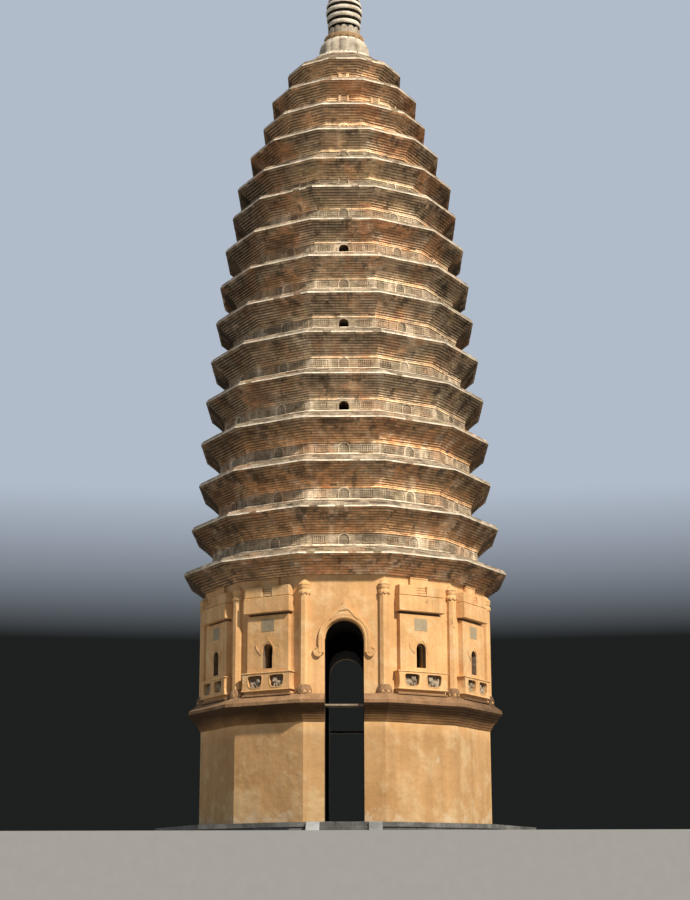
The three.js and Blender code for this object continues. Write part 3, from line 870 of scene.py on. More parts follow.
    def spread(self, turns: Sequence[float]) -> None:
        """Turn the whole mesh to the first turn and repeat it at the others."""
        source = list(self.bm.verts) + list(self.bm.edges) + list(self.bm.faces)
        for turn in turns[1:]:
            made = bmesh.ops.duplicate(self.bm, geom=source)
            self.turn(only(made["geom"], bmesh.types.BMVert), turned_by(turn))
        self.turn(only(source, bmesh.types.BMVert), turned_by(turns[0]))

    def piece(
        self, name: str, finishes: Sequence[Coat], turn: float = 0.0, *, slot: str,
        replaces: Sequence[str] = (), smooth: float = 0.0,
    ) -> bpy.types.Object:
        """Make the object and hang it on the tower.

        Args:
            name: name of the piece.
            finishes: materials in slot order.
            turn: turn round the tower at which it stands.
            slot: material slot of the record; not used.
            replaces: solids that it stands for.
            smooth: angle in degrees under which edges are shaded round.

        Returns:
            The object.
        """
        mesh = bpy.data.meshes.new(name)
        self.bm.to_mesh(mesh)
        if turn:
            mesh.transform(turned_by(turn))
        for finish in finishes:
            mesh.materials.append(finish)
        if smooth:
            mesh.shade_smooth()
            mesh.set_sharp_from_angle(angle=math.radians(smooth))
        made = linked(name, mesh)
        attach(made, "root")
        if replaces:
            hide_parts(*replaces)
        log.info("%s: %d faces", name, len(mesh.polygons))
        return made


@dataclass(frozen=True)
class PetalRing:
    """Ring of lotus petals that touch along their edges, each bent to a profile."""

    count: int
    profile: Profile
    bulge: float
    rounding: float
    thickness: float = 0.03

    def at(self, share: float) -> Pair:
        """Radius and height at a share of the way from the root to the tip."""
        place = share * (len(self.profile) - 1)
        index = min(int(place), len(self.profile) - 2)
        first, second = self.profile[index], self.profile[index + 1]
        return between(first[0], second[0], place - index), between(first[1], second[1], place - index)

    def add(self, s: Sketch, centre: Triple = (0, 0, 0), slot: int = 0) -> None:
        """Add the ring to a mesh."""
        for number in range(self.count):
            old = set(s.bm.verts)
            made = bmesh.ops.create_grid(s.bm, x_segments=6, y_segments=7, size=1.0)
            for vert in made["verts"]:
                across, share = vert.co.x, (vert.co.y + 1) / 2
                radius, height = self.at(share * (1 - self.rounding * across ** 2))
                radius += self.bulge * (1 - across ** 2)
                turn = (number + across / 2) * 360 / self.count
                vert.co = Vector(centre) + heading(turn) * radius + Vector((0, 0, height))
            faces = distinct(face for vert in made["verts"] for face in vert.link_faces)
            inward = -heading(number * 360 / self.count) * self.thickness
            s.push(faces, inward)
            s.close(old, slot)


# Sub-assemblies


@dataclass
class Platform:
    """Twelve-sided platform of dressed blocks with an edging course and a paved top."""

    radius: float = LOWER_RADIUS + PLATFORM_MARGIN / FLAT_SHARE
    height: float = FLOOR_LEVEL
    edging_height: float = 0.16
    edging_width: float = 0.46
    face_courses: int = 3
    face_setback: float = 0.05
    stones_per_side: int = 5
    joint: float = 0.012
    joint_depth: float = 0.012
    joint_bite: float = 0.0005
    paving_drop: float = 0.012
    paving_overlap: float = 0.02

    def build(self, finishes: Finishes) -> None:
        """Build the platform's blocks, edging and paving."""
        s = Sketch(11)
        face_top = self.height - self.edging_height
        rise = face_top / self.face_courses
        inner = self.radius - self.edging_width
        for course in range(self.face_courses):
            low = course * rise
            self.ring(s, oblong(inner, self.radius - self.face_setback, low, low + rise), course % 2)
        self.ring(s, oblong(inner, self.radius, face_top, self.height), 1)
        s.spin_profile(oblong(0, inner + self.paving_overlap, 0.0, self.height - self.paving_drop))
        s.piece("platform_stones", [finishes.slate, finishes.grime_and_shade], slot="slate", replaces=["base_platform"])

    def ring(self, s: Sketch, profile: Profile, offset: int) -> None:
        """Add one course of blocks with open joints.

        Args:
            s: mesh that takes it.
            profile: cross-section of the course.
            offset: number of blocks more than usual on each side.
        """
        old = set(s.bm.faces)
        cut = s.divide_sides(s.spin_profile(profile), self.stones_per_side - 1 + offset)
        self.tone_blocks(s, [face for face in s.bm.faces if face not in old])
        groove = s.bevel([edge for edge in cut if not along_side(edge)], self.joint / 2)
        sunk = bmesh.ops.inset_region(
            s.bm, faces=groove, thickness=self.joint_bite, depth=-self.joint_depth, use_even_offset=True,
        )
        s.mark(groove + sunk["faces"], 1, 0.0)

    def tone_blocks(self, s: Sketch, faces: Faces) -> None:
        """Give all the faces of a block one tone."""
        tones = {}
        edging_foot = self.height - self.edging_height - 0.01
        for face in by_place(faces):
            middle = face.calc_center_median()
            turn = math.degrees(math.atan2(middle.x, -middle.y))
            key = (round(turn, 1), middle.z > edging_foot)
            face[s.tone] = tones.setdefault(key, s.chance.uniform(-0.5, 0.5))


@dataclass
class EntranceSteps:
    """Five stone treads between two pale side stones."""

    face: float = LOWER_RADIUS * FLAT_SHARE + PLATFORM_MARGIN
    count: int = 5
    tread: float = 0.30
    half_width: float = 0.84
    cheek_width: float = 0.47
    cheek_front: float = 0.6
    left_joint: Pair = (-0.31, 0.20)
    right_joint: Pair = (0.22, 0.17)
    gap: float = 0.002
    worn: float = 0.012
    cheek_worn: float = 0.015

    def build(self, finishes: Finishes) -> None:
        """Build the treads and the side stones."""
        s = Sketch(12)
        rise = FLOOR_LEVEL / self.count
        back = -self.face - 0.001
        for step in range(self.count):
            top = FLOOR_LEVEL - step * rise
            front = -self.face - (step + 1) * self.tread
            left_joint = self.left_joint[0] + self.left_joint[1] * (step % 2)
            right_joint = self.right_joint[0] + self.right_joint[1] * (step % 3)
            joints = [-self.half_width, left_joint, right_joint, self.half_width]
            foot = 0.0 if step == self.count - 1 else top - rise
            for left, right in zip(joints, joints[1:]):
                s.block((left + self.gap, front, foot), (right - self.gap, back, top), 0, self.worn)
        end = -self.face - self.tread * (self.count + 1)
        outline = [
            (-self.face, 0.0), (end, 0.0), (end, rise * self.cheek_front),
            (-self.face - self.tread, FLOOR_LEVEL), (-self.face, FLOOR_LEVEL),
        ]
        for side in (-1, 1):
            inner, outer = side * self.half_width, side * (self.half_width + self.cheek_width)
            stone = s.slab(outline, -max(inner, outer), -min(inner, outer), 1, self.cheek_worn)
            s.turn(stone, turned_by(90))
        s.wobble(s.bm.verts, 0.003, 3.0)
        coats = [finishes.slate, finishes.cheek]
        s.piece("entrance_flight", coats, slot="slate", replaces=["entrance_steps"])


@dataclass
class Waist:
    """Corbelled courses, fascia and sloping mortar ledge between the lower and the upper wall."""

    foot_radius: float = LOWER_RADIUS
    lip_radius: float = 6.17
    shelf_radius: float = 5.85
    fascia: float = 0.11
    bulge_out: float = 0.15
    bulge_height: float = 0.26
    courses: int = 7
    brick_foot_out: float = 0.036
    brick_top_out: float = 0.024
    bite: float = 0.12
    cuts: int = 8
    row: float = 0.1
    skin: float = 0.012

    def slope(self, height: float) -> float:
        """Radius of the rough corbel at a height."""
        knee = WALL_TOP + self.bulge_height
        knee_radius = self.foot_radius + self.bulge_out
        if height <= knee:
            return between(self.foot_radius, knee_radius, (height - WALL_TOP) / self.bulge_height)
        return between(knee_radius, self.lip_radius, (height - knee) / (WAIST_LEVEL - knee))

    def profile(self) -> Outline:
        """Corners of the stepped skin over the rough corbel and the ledge."""
        rise = (WAIST_LEVEL - WALL_TOP) / self.courses
        inner = self.foot_radius - self.bite
        corners = [(inner, WALL_TOP)]
        for course in range(self.courses):
            low = WALL_TOP + course * rise
            corners.append((self.slope(low) + self.brick_foot_out, low))
            corners.append((self.slope(low + rise) + self.brick_top_out, low + rise))
        lip = self.lip_radius + self.skin
        top = WAIST_LEVEL + self.fascia + self.skin
        corners += [(lip, WAIST_LEVEL), (lip, top)]
        return corners + [(self.shelf_radius, LEDGE_LEVEL + self.skin), (inner, LEDGE_LEVEL + self.skin)]

    def build(self, finishes: Finishes) -> None:
        """Build the stretch between two doorways and repeat it."""
        rise = (WAIST_LEVEL - WALL_TOP) / self.courses
        for number, (name, turn) in enumerate(QUARTER_TURNS.items()):
            s = Sketch(20 + number)
            s.divide_sides(s.spin_profile(self.profile()), self.cuts)
            s.wobble(s.bm.verts, 0.012)
            s.wobble(s.bm.verts, 0.006, 6.0)
            for normal in (Vector((1, 0, 0)), Vector((0, 1, 0))):
                everything = list(s.bm.verts) + list(s.bm.edges) + list(s.bm.faces)
                made = bmesh.ops.bisect_plane(
                    s.bm, geom=everything, dist=1e-5, plane_co=-normal * DOOR_HALF_WIDTH, plane_no=normal,
                    clear_outer=True,
                )
                bmesh.ops.holes_fill(s.bm, edges=only(made["geom_cut"], bmesh.types.BMEdge))
            bmesh.ops.recalc_face_normals(s.bm, faces=s.bm.faces)
            for face in by_place(s.bm.faces):
                slot = 1 if face.calc_center_median().z > WAIST_LEVEL + 0.01 else 0
                s.mark([face], slot)
            s.map_sides(self.row, WALL_TOP, rise)
            s.piece(f"waist_courses_{name}", [finishes.waist, finishes.ledge], turn, slot="ochre_plaster")


@dataclass
class CornerColumn:
    """Octagonal column set into a corner, on a lotus foot and under a jewel head."""

    radius: float = 0.192
    lotus_height: float = 0.33
    lotus_radius: float = 0.285
    head_foot: float = 9.02
    head_height: float = 0.62
    head_overlap: float = 0.1
    plinth: float = 0.06
    petals: int = 8

    def build(self, finishes: Finishes) -> None:
        """Build a column for every corner."""
        centre = (0.0, -UPPER_RADIUS, 0.0)
        foot = LEDGE_LEVEL + 0.01
        for number in range(SIDES):
            s = Sketch(40 + number)
            s.spin_profile(oblong(0, self.radius, foot, self.head_foot + self.head_overlap), 0, 8, centre)
            self.lotus(s, centre, foot)
            self.head(s, centre)
            s.wobble(s.bm.verts, 0.004, 2.0)
            name = f"corner_column_{number + 1:02d}"
            turn = SIDE_TURN * (number + 0.5)
            s.piece(name, [finishes.plaster, finishes.ledge], turn, slot="ochre_plaster", smooth=35)

    def lotus(self, s: Sketch, centre: Triple, foot: float) -> None:
        """Add the foot: a low drum under a ring of turned-down petals."""
        wide, high = self.lotus_radius, self.lotus_height
        neck = foot + high * 0.95
        s.spin_profile(oblong(0, wide, foot, foot + self.plinth), 1, 16, centre)
        core = [(0, foot + 0.05), (wide * 0.9, foot + 0.05), (self.radius * 1.02, neck), (0, neck)]
        s.spin_profile(core, 1, 16, centre)
        shares = ((0.80, 0.82), (0.93, 0.50), (0.97, 0.22))
        fall = [(self.radius + 0.005, foot + high)]
        fall += [(wide * out, foot + high * share) for out, share in shares]
        PetalRing(self.petals, fall, bulge=0.018, rounding=0.35, thickness=0.02).add(s, centre, 1)

    def head(self, s: Sketch, centre: Triple) -> None:
        """Add the head: a drooping lotus, a round jewel and its flame tip."""
        def scaled(shares: Profile) -> Outline:
            """Shares of the column's radius and of the head's height, as radii and heights."""
            return [(self.radius * out, self.head_foot + self.head_height * share) for out, share in shares]

        petal = ((0.95, 0.32), (1.12, 0.24), (1.14, 0.06))
        ring = PetalRing(self.petals, scaled(petal), bulge=0.012, rounding=0.35, thickness=0.02)
        ring.add(s, centre)
        jewel = (
            (0, 0.28), (0.80, 0.28), (1.02, 0.40), (1.12, 0.52), (1.03, 0.66), (0.78, 0.78), (0.42, 0.88),
            (0.16, 0.96), (0, 1),
        )
        s.spin_profile(scaled(jewel), 0, 16, centre)


@dataclass
class NicheShrine:
    """Small shrine on a wall face: foot, pedestal with two lions, body with a niche, stepped crown."""

    foot_half: float = 1.00
    foot_relief: float = 0.22
    foot_top: float = 0.19
    base_half: float = 1.05
    base_relief: float = 0.33
    base_top: float = 0.866
    base_waist: float = 0.05
    body_half: float = 0.89
    body_relief: float = 0.20
    body_top: float = 2.96
    worn: float = 0.012
    backing: float = 0.001
    sill_out: float = 0.05
    sill_top: float = 0.07
    bead: float = 0.030
    niche_half: float = 0.20
    niche_foot: float = 1.01
    niche_spring: float = 1.71
    panel_half: float = 0.34
    panel_offset: float = 0.47
    panel_foot: float = 0.30
    panel_top: float = 0.77
    panel_depth: float = 0.15
    panel_taper: float = 0.09
    plaque_half: float = 0.275
    plaque_foot: float = 2.36
    plaque_top: float = 2.82
    frieze_foot: float = 3.05
    frieze_top: float = 3.62
    frieze_half: float = 0.99
    frieze_relief: float = 0.34
    boards: int = 7
    step_count: int = 4
    crown_top: float = 4.03
    block_inner: float = 0.21
    block_outer: float = 0.96
    block_relief: float = 0.31
    cap_half: float = 0.39
    cap_relief: float = 0.14
    cap_top: float = 4.34
    hood_rise: float = 0.24
    hood_gap: float = 0.055
    horn: tuple[Pair, ...] = (
        (0.26, 1.52), (0.31, 1.56), (0.36, 1.62), (0.42, 1.68), (0.47, 1.76), (0.50, 1.83), (0.50, 1.90),
    )
    damaged_turn: int = 300

    def build(self, finishes: Finishes) -> None:
        """Build the shrine of each diagonal face; one of them has lost a block of its crown."""
        coats = [finishes.plaster, finishes.ledge, finishes.grime_and_shade, finishes.lintel, finishes.plaque]
        for number, turn in enumerate(SHRINE_TURNS, 1):
            s = Sketch(60 + number)
            self.foot(s)
            self.pedestal(s)
            self.body(s)
            self.hood(s)
            self.crown(s, turn == self.damaged_turn)
            for side in (-1, 1):
                self.lion(s, side)
            bmesh.ops.translate(s.bm, verts=s.bm.verts, vec=(0, -UPPER_FLAT, LEDGE_LEVEL))
            s.wobble(s.bm.verts, 0.005, 2.3)
            replaced = [f"niche_shrine_{number}"]
            s.piece(f"shrine_dressed_{number}", coats, turn, slot="ochre_plaster", replaces=replaced)

    def layer(self, s: Sketch, half: float, relief: float, low: float, high: float, slot: int = 0) -> None:
        """Add a worn block that stands out from the wall."""
        s.block((-half, -relief, low), (half, -self.backing, high), slot, self.worn)

    def foot(self, s: Sketch) -> None:
        """Add the recessed foot on its thin sill."""
        self.layer(s, self.foot_half, self.foot_relief, self.backing, self.foot_top + 0.01)
        half, relief = self.foot_half + self.sill_out, self.foot_relief + 2 * self.sill_out
        self.layer(s, half, relief, self.backing, self.sill_top, 1)

    def pedestal(self, s: Sketch) -> None:
        """Add the pedestal: a plate with two rounded panels, waisted ends and thin mouldings."""
        low, high = self.foot_top, self.base_top
        half, near = self.base_half, -self.base_relief
        back = near + self.panel_depth
        old = set(s.bm.verts)
        for side in (-1, 1):
            cell = (min(0.0, side * half), low, max(0.0, side * half), high)
            hole = self.panel_outline(side * self.panel_offset)
            s.framed(cell, hole, near, back)
            s.ridge([*hole, hole[0]], self.bead, near + 0.002, near - 0.012)
            middle, reach = side * self.panel_offset, self.panel_half + 0.02
            # Painted shade: the panel's back takes the dark recess finish.
            s.block((middle - reach, back - 0.003, low + 0.06), (middle + reach, back + 0.01, high - 0.06), 2)
        steps = 8
        edge = [(half, between(low, high, step / steps)) for step in range(steps + 1)]
        s.slab(edge + mirrored(edge), back + 0.002, -self.backing)
        for vert in s.bm.verts:
            if vert not in old and abs(vert.co.x) > half - 0.02:
                share = (vert.co.z - low) / (high - low)
                vert.co.x -= math.copysign(self.base_waist * math.sin(math.pi * share), vert.co.x)
        self.layer(s, half + 0.03, self.base_relief + 0.025, high - 0.045, high)
        self.layer(s, half + 0.02, self.base_relief + 0.015, low, low + 0.04)

    def panel_outline(self, centre: float) -> Outline:
        """Outline of a lion panel: a cushion with rounded corners, narrower at the foot."""
        count = 40
        middle = (self.panel_foot + self.panel_top) / 2
        half_height = (self.panel_top - self.panel_foot) / 2
        points = []
        for step in range(count):
            angle = math.tau * (step + 0.5) / count
            power = 0.36 if math.sin(angle) > 0 else 0.58
            across = math.copysign(abs(math.cos(angle)) ** power, math.cos(angle))
            height = math.copysign(abs(math.sin(angle)) ** power, math.sin(angle))
            narrowed = self.panel_half * (1 + self.panel_taper * (height - 1))
            points.append((centre + narrowed * across, middle + half_height * height))
        return points

    def body(self, s: Sketch) -> None:
        """Add the body plate with the niche through it and the plaque above."""
        near = -self.body_relief
        half, spring = self.niche_half, self.niche_spring
        arch = arc((0, spring), half, 0, 180, 12)
        left = [(-half, between(spring, self.niche_foot, step / 6)) for step in range(1, 7)]
        foot = [(between(-half, half, step / 4), self.niche_foot) for step in range(1, 4)]
        cell = (-self.body_half, self.base_top, self.body_half, self.body_top)
        s.framed(cell, arch + left + foot + mirrored(left), near, -self.backing)
        # Painted shade: the niche's inside takes the dark recess finish.
        for face in by_place(s.bm.faces):
            middle = face.calc_center_median()
            inside = abs(middle.x) < half + 0.01 and self.niche_foot - 0.01 < middle.z < spring + half + 0.01
            if inside and near + 0.01 < middle.y < -0.01:
                s.mark([face], 2)
        wide = self.plaque_half
        s.block((-wide, near - 0.008, self.plaque_foot), (wide, near + 0.02, self.plaque_top), 4, 0.008)

    def hood(self, s: Sketch) -> None:
        """Add the pointed ogee line over the niche and the horns that flare from its ends."""
        near = -self.body_relief
        start = self.niche_spring
        tip = start + self.niche_half + self.hood_rise
        radius = self.niche_half + self.hood_gap
        side = arc((0, start), radius, 0, 52, 6)
        last = side[-1]
        for step in range(1, 6):
            share = step / 5
            side.append((last[0] * (1 - share) ** 1.5, between(last[1], tip, share ** 0.85)))
        path = [(radius, start - 0.13)] + side
        s.ridge(path + mirrored(path[:-1]), 0.035, near + 0.004, near - 0.020)
        for hand in (-1, 1):
            s.ridge([(hand * x, z) for x, z in self.horn], self.bead, near + 0.004, near - 0.022)

    def crown(self, s: Sketch, damaged: bool) -> None:
        """Add the shadow gap, frieze, thin steps, corner blocks and cap.

        Args:
            s: mesh that takes them.
            damaged: whether the left corner block has fallen.
        """
        # Painted shade: the gap under the frieze takes the dark recess finish.
        gap_relief = self.body_relief - 0.09
        self.layer(s, self.body_half - 0.03, gap_relief, self.body_top - 0.001, self.frieze_foot, 2)
        self.layer(s, self.frieze_half, self.frieze_relief - 0.006, self.frieze_foot, self.frieze_top)
        board, gap = 2 * self.frieze_half / self.boards, 0.004
        for number in range(self.boards):
            left = number * board - self.frieze_half
            low = (left + gap, -self.frieze_relief, self.frieze_foot + 0.015)
            high = (left + board - gap, -self.frieze_relief + 0.02, self.frieze_top - 0.015)
            s.block(low, high, 0, gap)
        foot = self.frieze_top + 0.02
        # Painted shade: the recessed courses under and between the steps take the dark recess finish.
        self.layer(s, self.block_outer - 0.02, self.block_relief - 0.04, self.frieze_top - 0.001, foot, 2)
        rise = (self.crown_top - foot) / self.step_count
        for step in range(self.step_count):
            low = foot + step * rise
            half, relief = self.block_outer - step * 0.05, self.block_relief - 0.03 - step * 0.03
            self.layer(s, half, relief, low + 0.016, low + rise)
            self.layer(s, half - 0.03, relief - 0.04, low - 0.001, low + 0.017, 2)
        for side in (-1, 1):
            if damaged and side < 0:
                continue
            left, right = sorted((side * self.block_inner, side * self.block_outer))
            high = (right, -self.backing, self.crown_top - 0.01)
            s.block((left, -self.block_relief, foot), high, 0, 0.015)
        self.layer(s, self.cap_half, self.cap_relief - 0.02, self.crown_top - 0.001, self.cap_top - 0.05)
        self.layer(s, self.cap_half, self.cap_relief, self.cap_top - 0.05, self.cap_top)

    def lion(self, s: Sketch, side: int) -> None:
        """Add a crouching lion in a panel, its head towards the middle."""
        parts = [
            ((0.04, 0.0, 0.17), (0.18, 0.07, 0.10)),
            ((0.17, 0.0, 0.14), (0.09, 0.075, 0.12)),
            ((-0.11, -0.03, 0.27), (0.105, 0.08, 0.10)),
            ((-0.15, -0.08, 0.235), (0.055, 0.05, 0.05)),
            ((-0.18, -0.035, 0.355), (0.028, 0.025, 0.035)),
            ((-0.04, -0.035, 0.355), (0.028, 0.025, 0.035)),
            ((-0.14, -0.03, 0.10), (0.04, 0.04, 0.10)),
            ((-0.04, -0.04, 0.09), (0.04, 0.04, 0.09)),
            ((0.15, -0.05, 0.05), (0.10, 0.04, 0.04)),
            ((-0.15, -0.06, 0.03), (0.055, 0.04, 0.025)),
            ((0.24, -0.01, 0.25), (0.035, 0.03, 0.11)),
        ]
        depth = -self.base_relief + self.panel_depth - 0.02
        for (x, y, z), radii in parts:
            s.ball((side * (self.panel_offset + x), depth + y, self.panel_foot + z), radii, 3)


@dataclass
class DoorHead:
    """Raised ogee hood over a doorway arch, its scrolls and the stone lintel below."""

    inner: float = 0.74
    outer: float = 0.93
    relief: float = 0.125
    tip: float = 8.82
    foot: float = 6.92
    groove: float = 0.03
    outer_lip: float = 0.02
    scroll_offset: float = 0.98
    scroll_rise: float = 0.03
    scroll_radius: float = 0.16
    scroll_ridge: float = 0.036
    scroll_relief: float = 0.06
    scroll_turns: float = 1.7
    lintel_setback: float = 0.05
    lintel_depth: float = 0.61
    lintel_height: float = 0.07

    def build(self, finishes: Finishes) -> None:
        """Build the hood and the lintel of each doorway."""
        hood, slab = self.hood(), self.lintel()
        for name, turn in MAIN_TURNS.items():
            hood.piece(f"door_hood_{name}", [finishes.plaster], turn, slot="ochre_plaster")
            replaced, coats = [f"door_lintel_{name}"], [finishes.lintel]
            slab.piece(f"lintel_slab_{name}", coats, turn, slot="lintel_stone", replaces=replaced)

    def hood(self) -> Sketch:
        """Moulded band round the arch, with its pointed crest and curled ends."""
        s = Sketch(80)
        near, back = -UPPER_FLAT - self.relief, -UPPER_FLAT - 0.0005
        width = self.outer - self.inner
        groove, out = near + self.groove, width + self.outer_lip
        band = [
            (0, back), (0, groove), (self.groove, near), (width * 0.42, near + 0.002), (width * 0.48, groove),
            (width * 0.58, groove), (width * 0.64, near), (width, near), (out, groove), (out, back),
        ]
        s.arch_band(self.inner, ARCH_SPRING, self.foot, band, 24)
        self.crest(s, near, back)
        level = self.foot + self.scroll_rise
        for side in (-1, 1):
            across = side * self.scroll_offset
            eye = (across, -UPPER_FLAT - self.scroll_relief, level)
            s.scroll(eye, side, self.scroll_radius, self.scroll_ridge, self.scroll_turns)
            disc = arc((across, level), self.scroll_radius - 0.01, 0, 345, 23)
            s.slab(disc, eye[1] - 0.01, back)
        s.wobble(s.bm.verts, 0.005, 2.0)
        return s

    def crest(self, s: Sketch, near: float, back: float) -> None:
        """Add the pointed crest over the arch, with a raised line along its edge.

        Args:
            s: mesh that takes it.
            near: depth of the hood's face.
            back: depth of its back.
        """
        shoulder, reach, steps = math.radians(50), self.outer + self.outer_lip, 8
        x, z = reach * math.cos(shoulder), ARCH_SPRING + reach * math.sin(shoulder)
        shares = [step / steps for step in range(steps + 1)]
        rise = [(-x * (1 - share) ** 1.6, between(z, self.tip + 0.01, share ** 0.9)) for share in shares]
        line = rise + mirrored(rise[:-1])
        under = [(0.45 * x, z), (0, ARCH_SPRING + self.outer - 0.04), (-0.45 * x, z)]
        s.slab(line + under, near + 0.005, back)
        s.ridge([(a * 0.82, b - 0.03) for a, b in line], 0.04, near + 0.006, near - 0.02)

    def lintel(self) -> Sketch:
        """Stone slab across the doorway."""
        s = Sketch(81)
        face = -LOWER_RADIUS * FLAT_SHARE + self.lintel_setback
        half = DOOR_HALF_WIDTH - 0.001
        low = (-half, face, WAIST_LEVEL - self.lintel_height)
        s.block(low, (half, face + self.lintel_depth, WAIST_LEVEL), 0, 0.01)
        s.wobble(s.bm.verts, 0.004, 3.0)
        return s


class Course(Enum):
    """Material slots of an eave's skin."""

    CORBEL = 0
    MORTAR = 1
    SETBACK = 2


@dataclass
class EaveTier:
    """One eave: corbelled brick courses, an undercut mortar lip and a stepped-back top."""

    number: int
    bottom: float
    top: float
    lip_radius: float
    next_neck: float
    lip: float
    foot: float
    neck: float
    lip_height: float = 0.08
    lip_face: float = 0.052
    undercut: float = 0.08
    course: float = 0.080
    brick: float = 0.31
    skin: float = 0.004
    bite: float = 0.05
    string_out: float = 0.032
    string_foot: float = 0.055
    edge_out: float = 0.012
    edge_back: float = 0.025
    setback_step: float = 0.066
    top_gap: float = 0.004
    vent_tiers: tuple[int, ...] = (5, 7, 9)

    @property
    def rise(self) -> float:
        """Real height of a corbel course."""
        return (self.lip - self.foot) / max(4, round((self.lip - self.foot) / self.course))

    def corbel(self, share: float) -> float:
        """Radius of the rough corbel at a share of its height."""
        points = 6
        step = min(int(share * points), points - 1)
        reach = self.lip_radius - self.undercut - self.neck
        ends = [self.neck + reach * (i / points) ** 1.35 for i in (step, step + 1)]
        return between(ends[0], ends[1], share * points - step)

    def setback(self, height: float) -> float:
        """Radius of the rough top at a height."""
        shoulder = self.lip + self.lip_height
        knee = between(shoulder, self.top, 0.5)
        knee_radius = between(self.next_neck, self.lip_radius, 0.4)
        if height < knee:
            return between(self.lip_radius, knee_radius, (height - shoulder) / (knee - shoulder))
        return between(knee_radius, self.next_neck, (height - knee) / (self.top - knee))

    def profile(self) -> Outline:
        """Corners of the stepped skin over the rough eave."""
        inner = self.neck - self.bite
        corners = [(inner, self.foot)]
        if self.number > 1:
            string, low = self.neck + self.string_out, self.foot - self.string_foot
            corners = [(inner, low), (string, low), (string, self.foot - 0.012)]
            corners.append((self.neck + self.skin, self.foot - 0.008))
        count = round((self.lip - self.foot) / self.rise)
        for i in range(count):
            radius = self.corbel((i + 1) / count) + self.skin
            corners += [(radius, self.foot + i * self.rise), (radius, self.foot + (i + 1) * self.rise)]
        edge = self.lip_radius + self.edge_out
        shoulder = self.lip + self.lip_height + 0.008
        face = self.lip + self.lip_face
        corners += [(edge, self.lip - 0.006), (edge, face - 0.006)]
        corners += [(edge - self.edge_back, face), (edge - self.edge_back, shoulder)]
        steps = max(3, round((self.top - shoulder) / self.setback_step))
        rise = (self.top - self.top_gap - shoulder) / steps
        for i in range(steps):
            radius = self.setback(shoulder + i * rise) + self.skin - 0.03 * (i == 0)
            corners += [(radius, shoulder + i * rise), (radius, shoulder + (i + 1) * rise)]
        return corners + [(self.next_neck - self.bite, self.top - self.top_gap)]

    def build(self, finishes: Finishes) -> None:
        """Build the skin and the reliefs of the neck."""
        s = Sketch(100 + self.number)
        bricks = max(3, round(self.lip_radius * SIDE_SHARE / self.brick))
        s.divide_sides(s.spin_profile(self.profile()), bricks - 1)
        s.bm.normal_update()
        self.sort_courses(s)
        s.wobble(s.bm.verts, 0.009, 0.9)
        self.jitter(s)
        self.chip(s)
        s.map_sides(self.course, self.foot, self.rise)
        coats = [finishes.by_tier(self.number, "eave"), finishes.mortar, finishes.setback]
        s.piece(f"eave_courses_{self.number:02d}", coats, slot="weathered_brick")
        if self.number > 1:
            NeckReliefs(self).build(finishes)

    def sort_courses(self, s: Sketch) -> None:
        """Give the corbel, the lip and the setback their slots and every brick its own tone."""
        last_step = self.top - 0.075
        for face in by_place(s.bm.faces):
            height = face.calc_center_median().z
            slot = Course.CORBEL
            if height > self.lip - 0.002:
                pale = height < self.lip + self.lip_face or height > last_step
                slot = Course.MORTAR if pale else Course.SETBACK
            s.mark([face], slot.value)

    def jitter(self, s: Sketch) -> None:
        """Lift and drop the bricks' corners on the lip and the setback, less so on the corbel."""
        for vert in s.bm.verts:
            reach = 0.009 if vert.co.z > self.lip - 0.01 else 0.003
            vert.co += noise.noise_vector(vert.co * 9.0 + Vector((0, 0, self.number * 7.0))) * reach

    def chip(self, s: Sketch) -> None:
        """Knock back a few bricks of the courses and break pieces out of the lip."""
        losses = {Course.CORBEL: (0.05, -0.02), Course.MORTAR: (0.05, -0.02), Course.SETBACK: (0.15, -0.015)}
        for course, (share, depth) in losses.items():
            upright = [face for face in by_place(s.bm.faces) if abs(face.normal.z) < 0.4]
            sized = [face for face in upright if 0.004 < face.calc_area() < 0.08]
            fronts = [face for face in sized if face.material_index == course.value]
            chosen = [face for face in fronts if s.chance.random() < share]
            if chosen:
                bmesh.ops.inset_individual(
                    s.bm, faces=chosen, thickness=0.006, depth=depth, use_even_offset=True,
                )


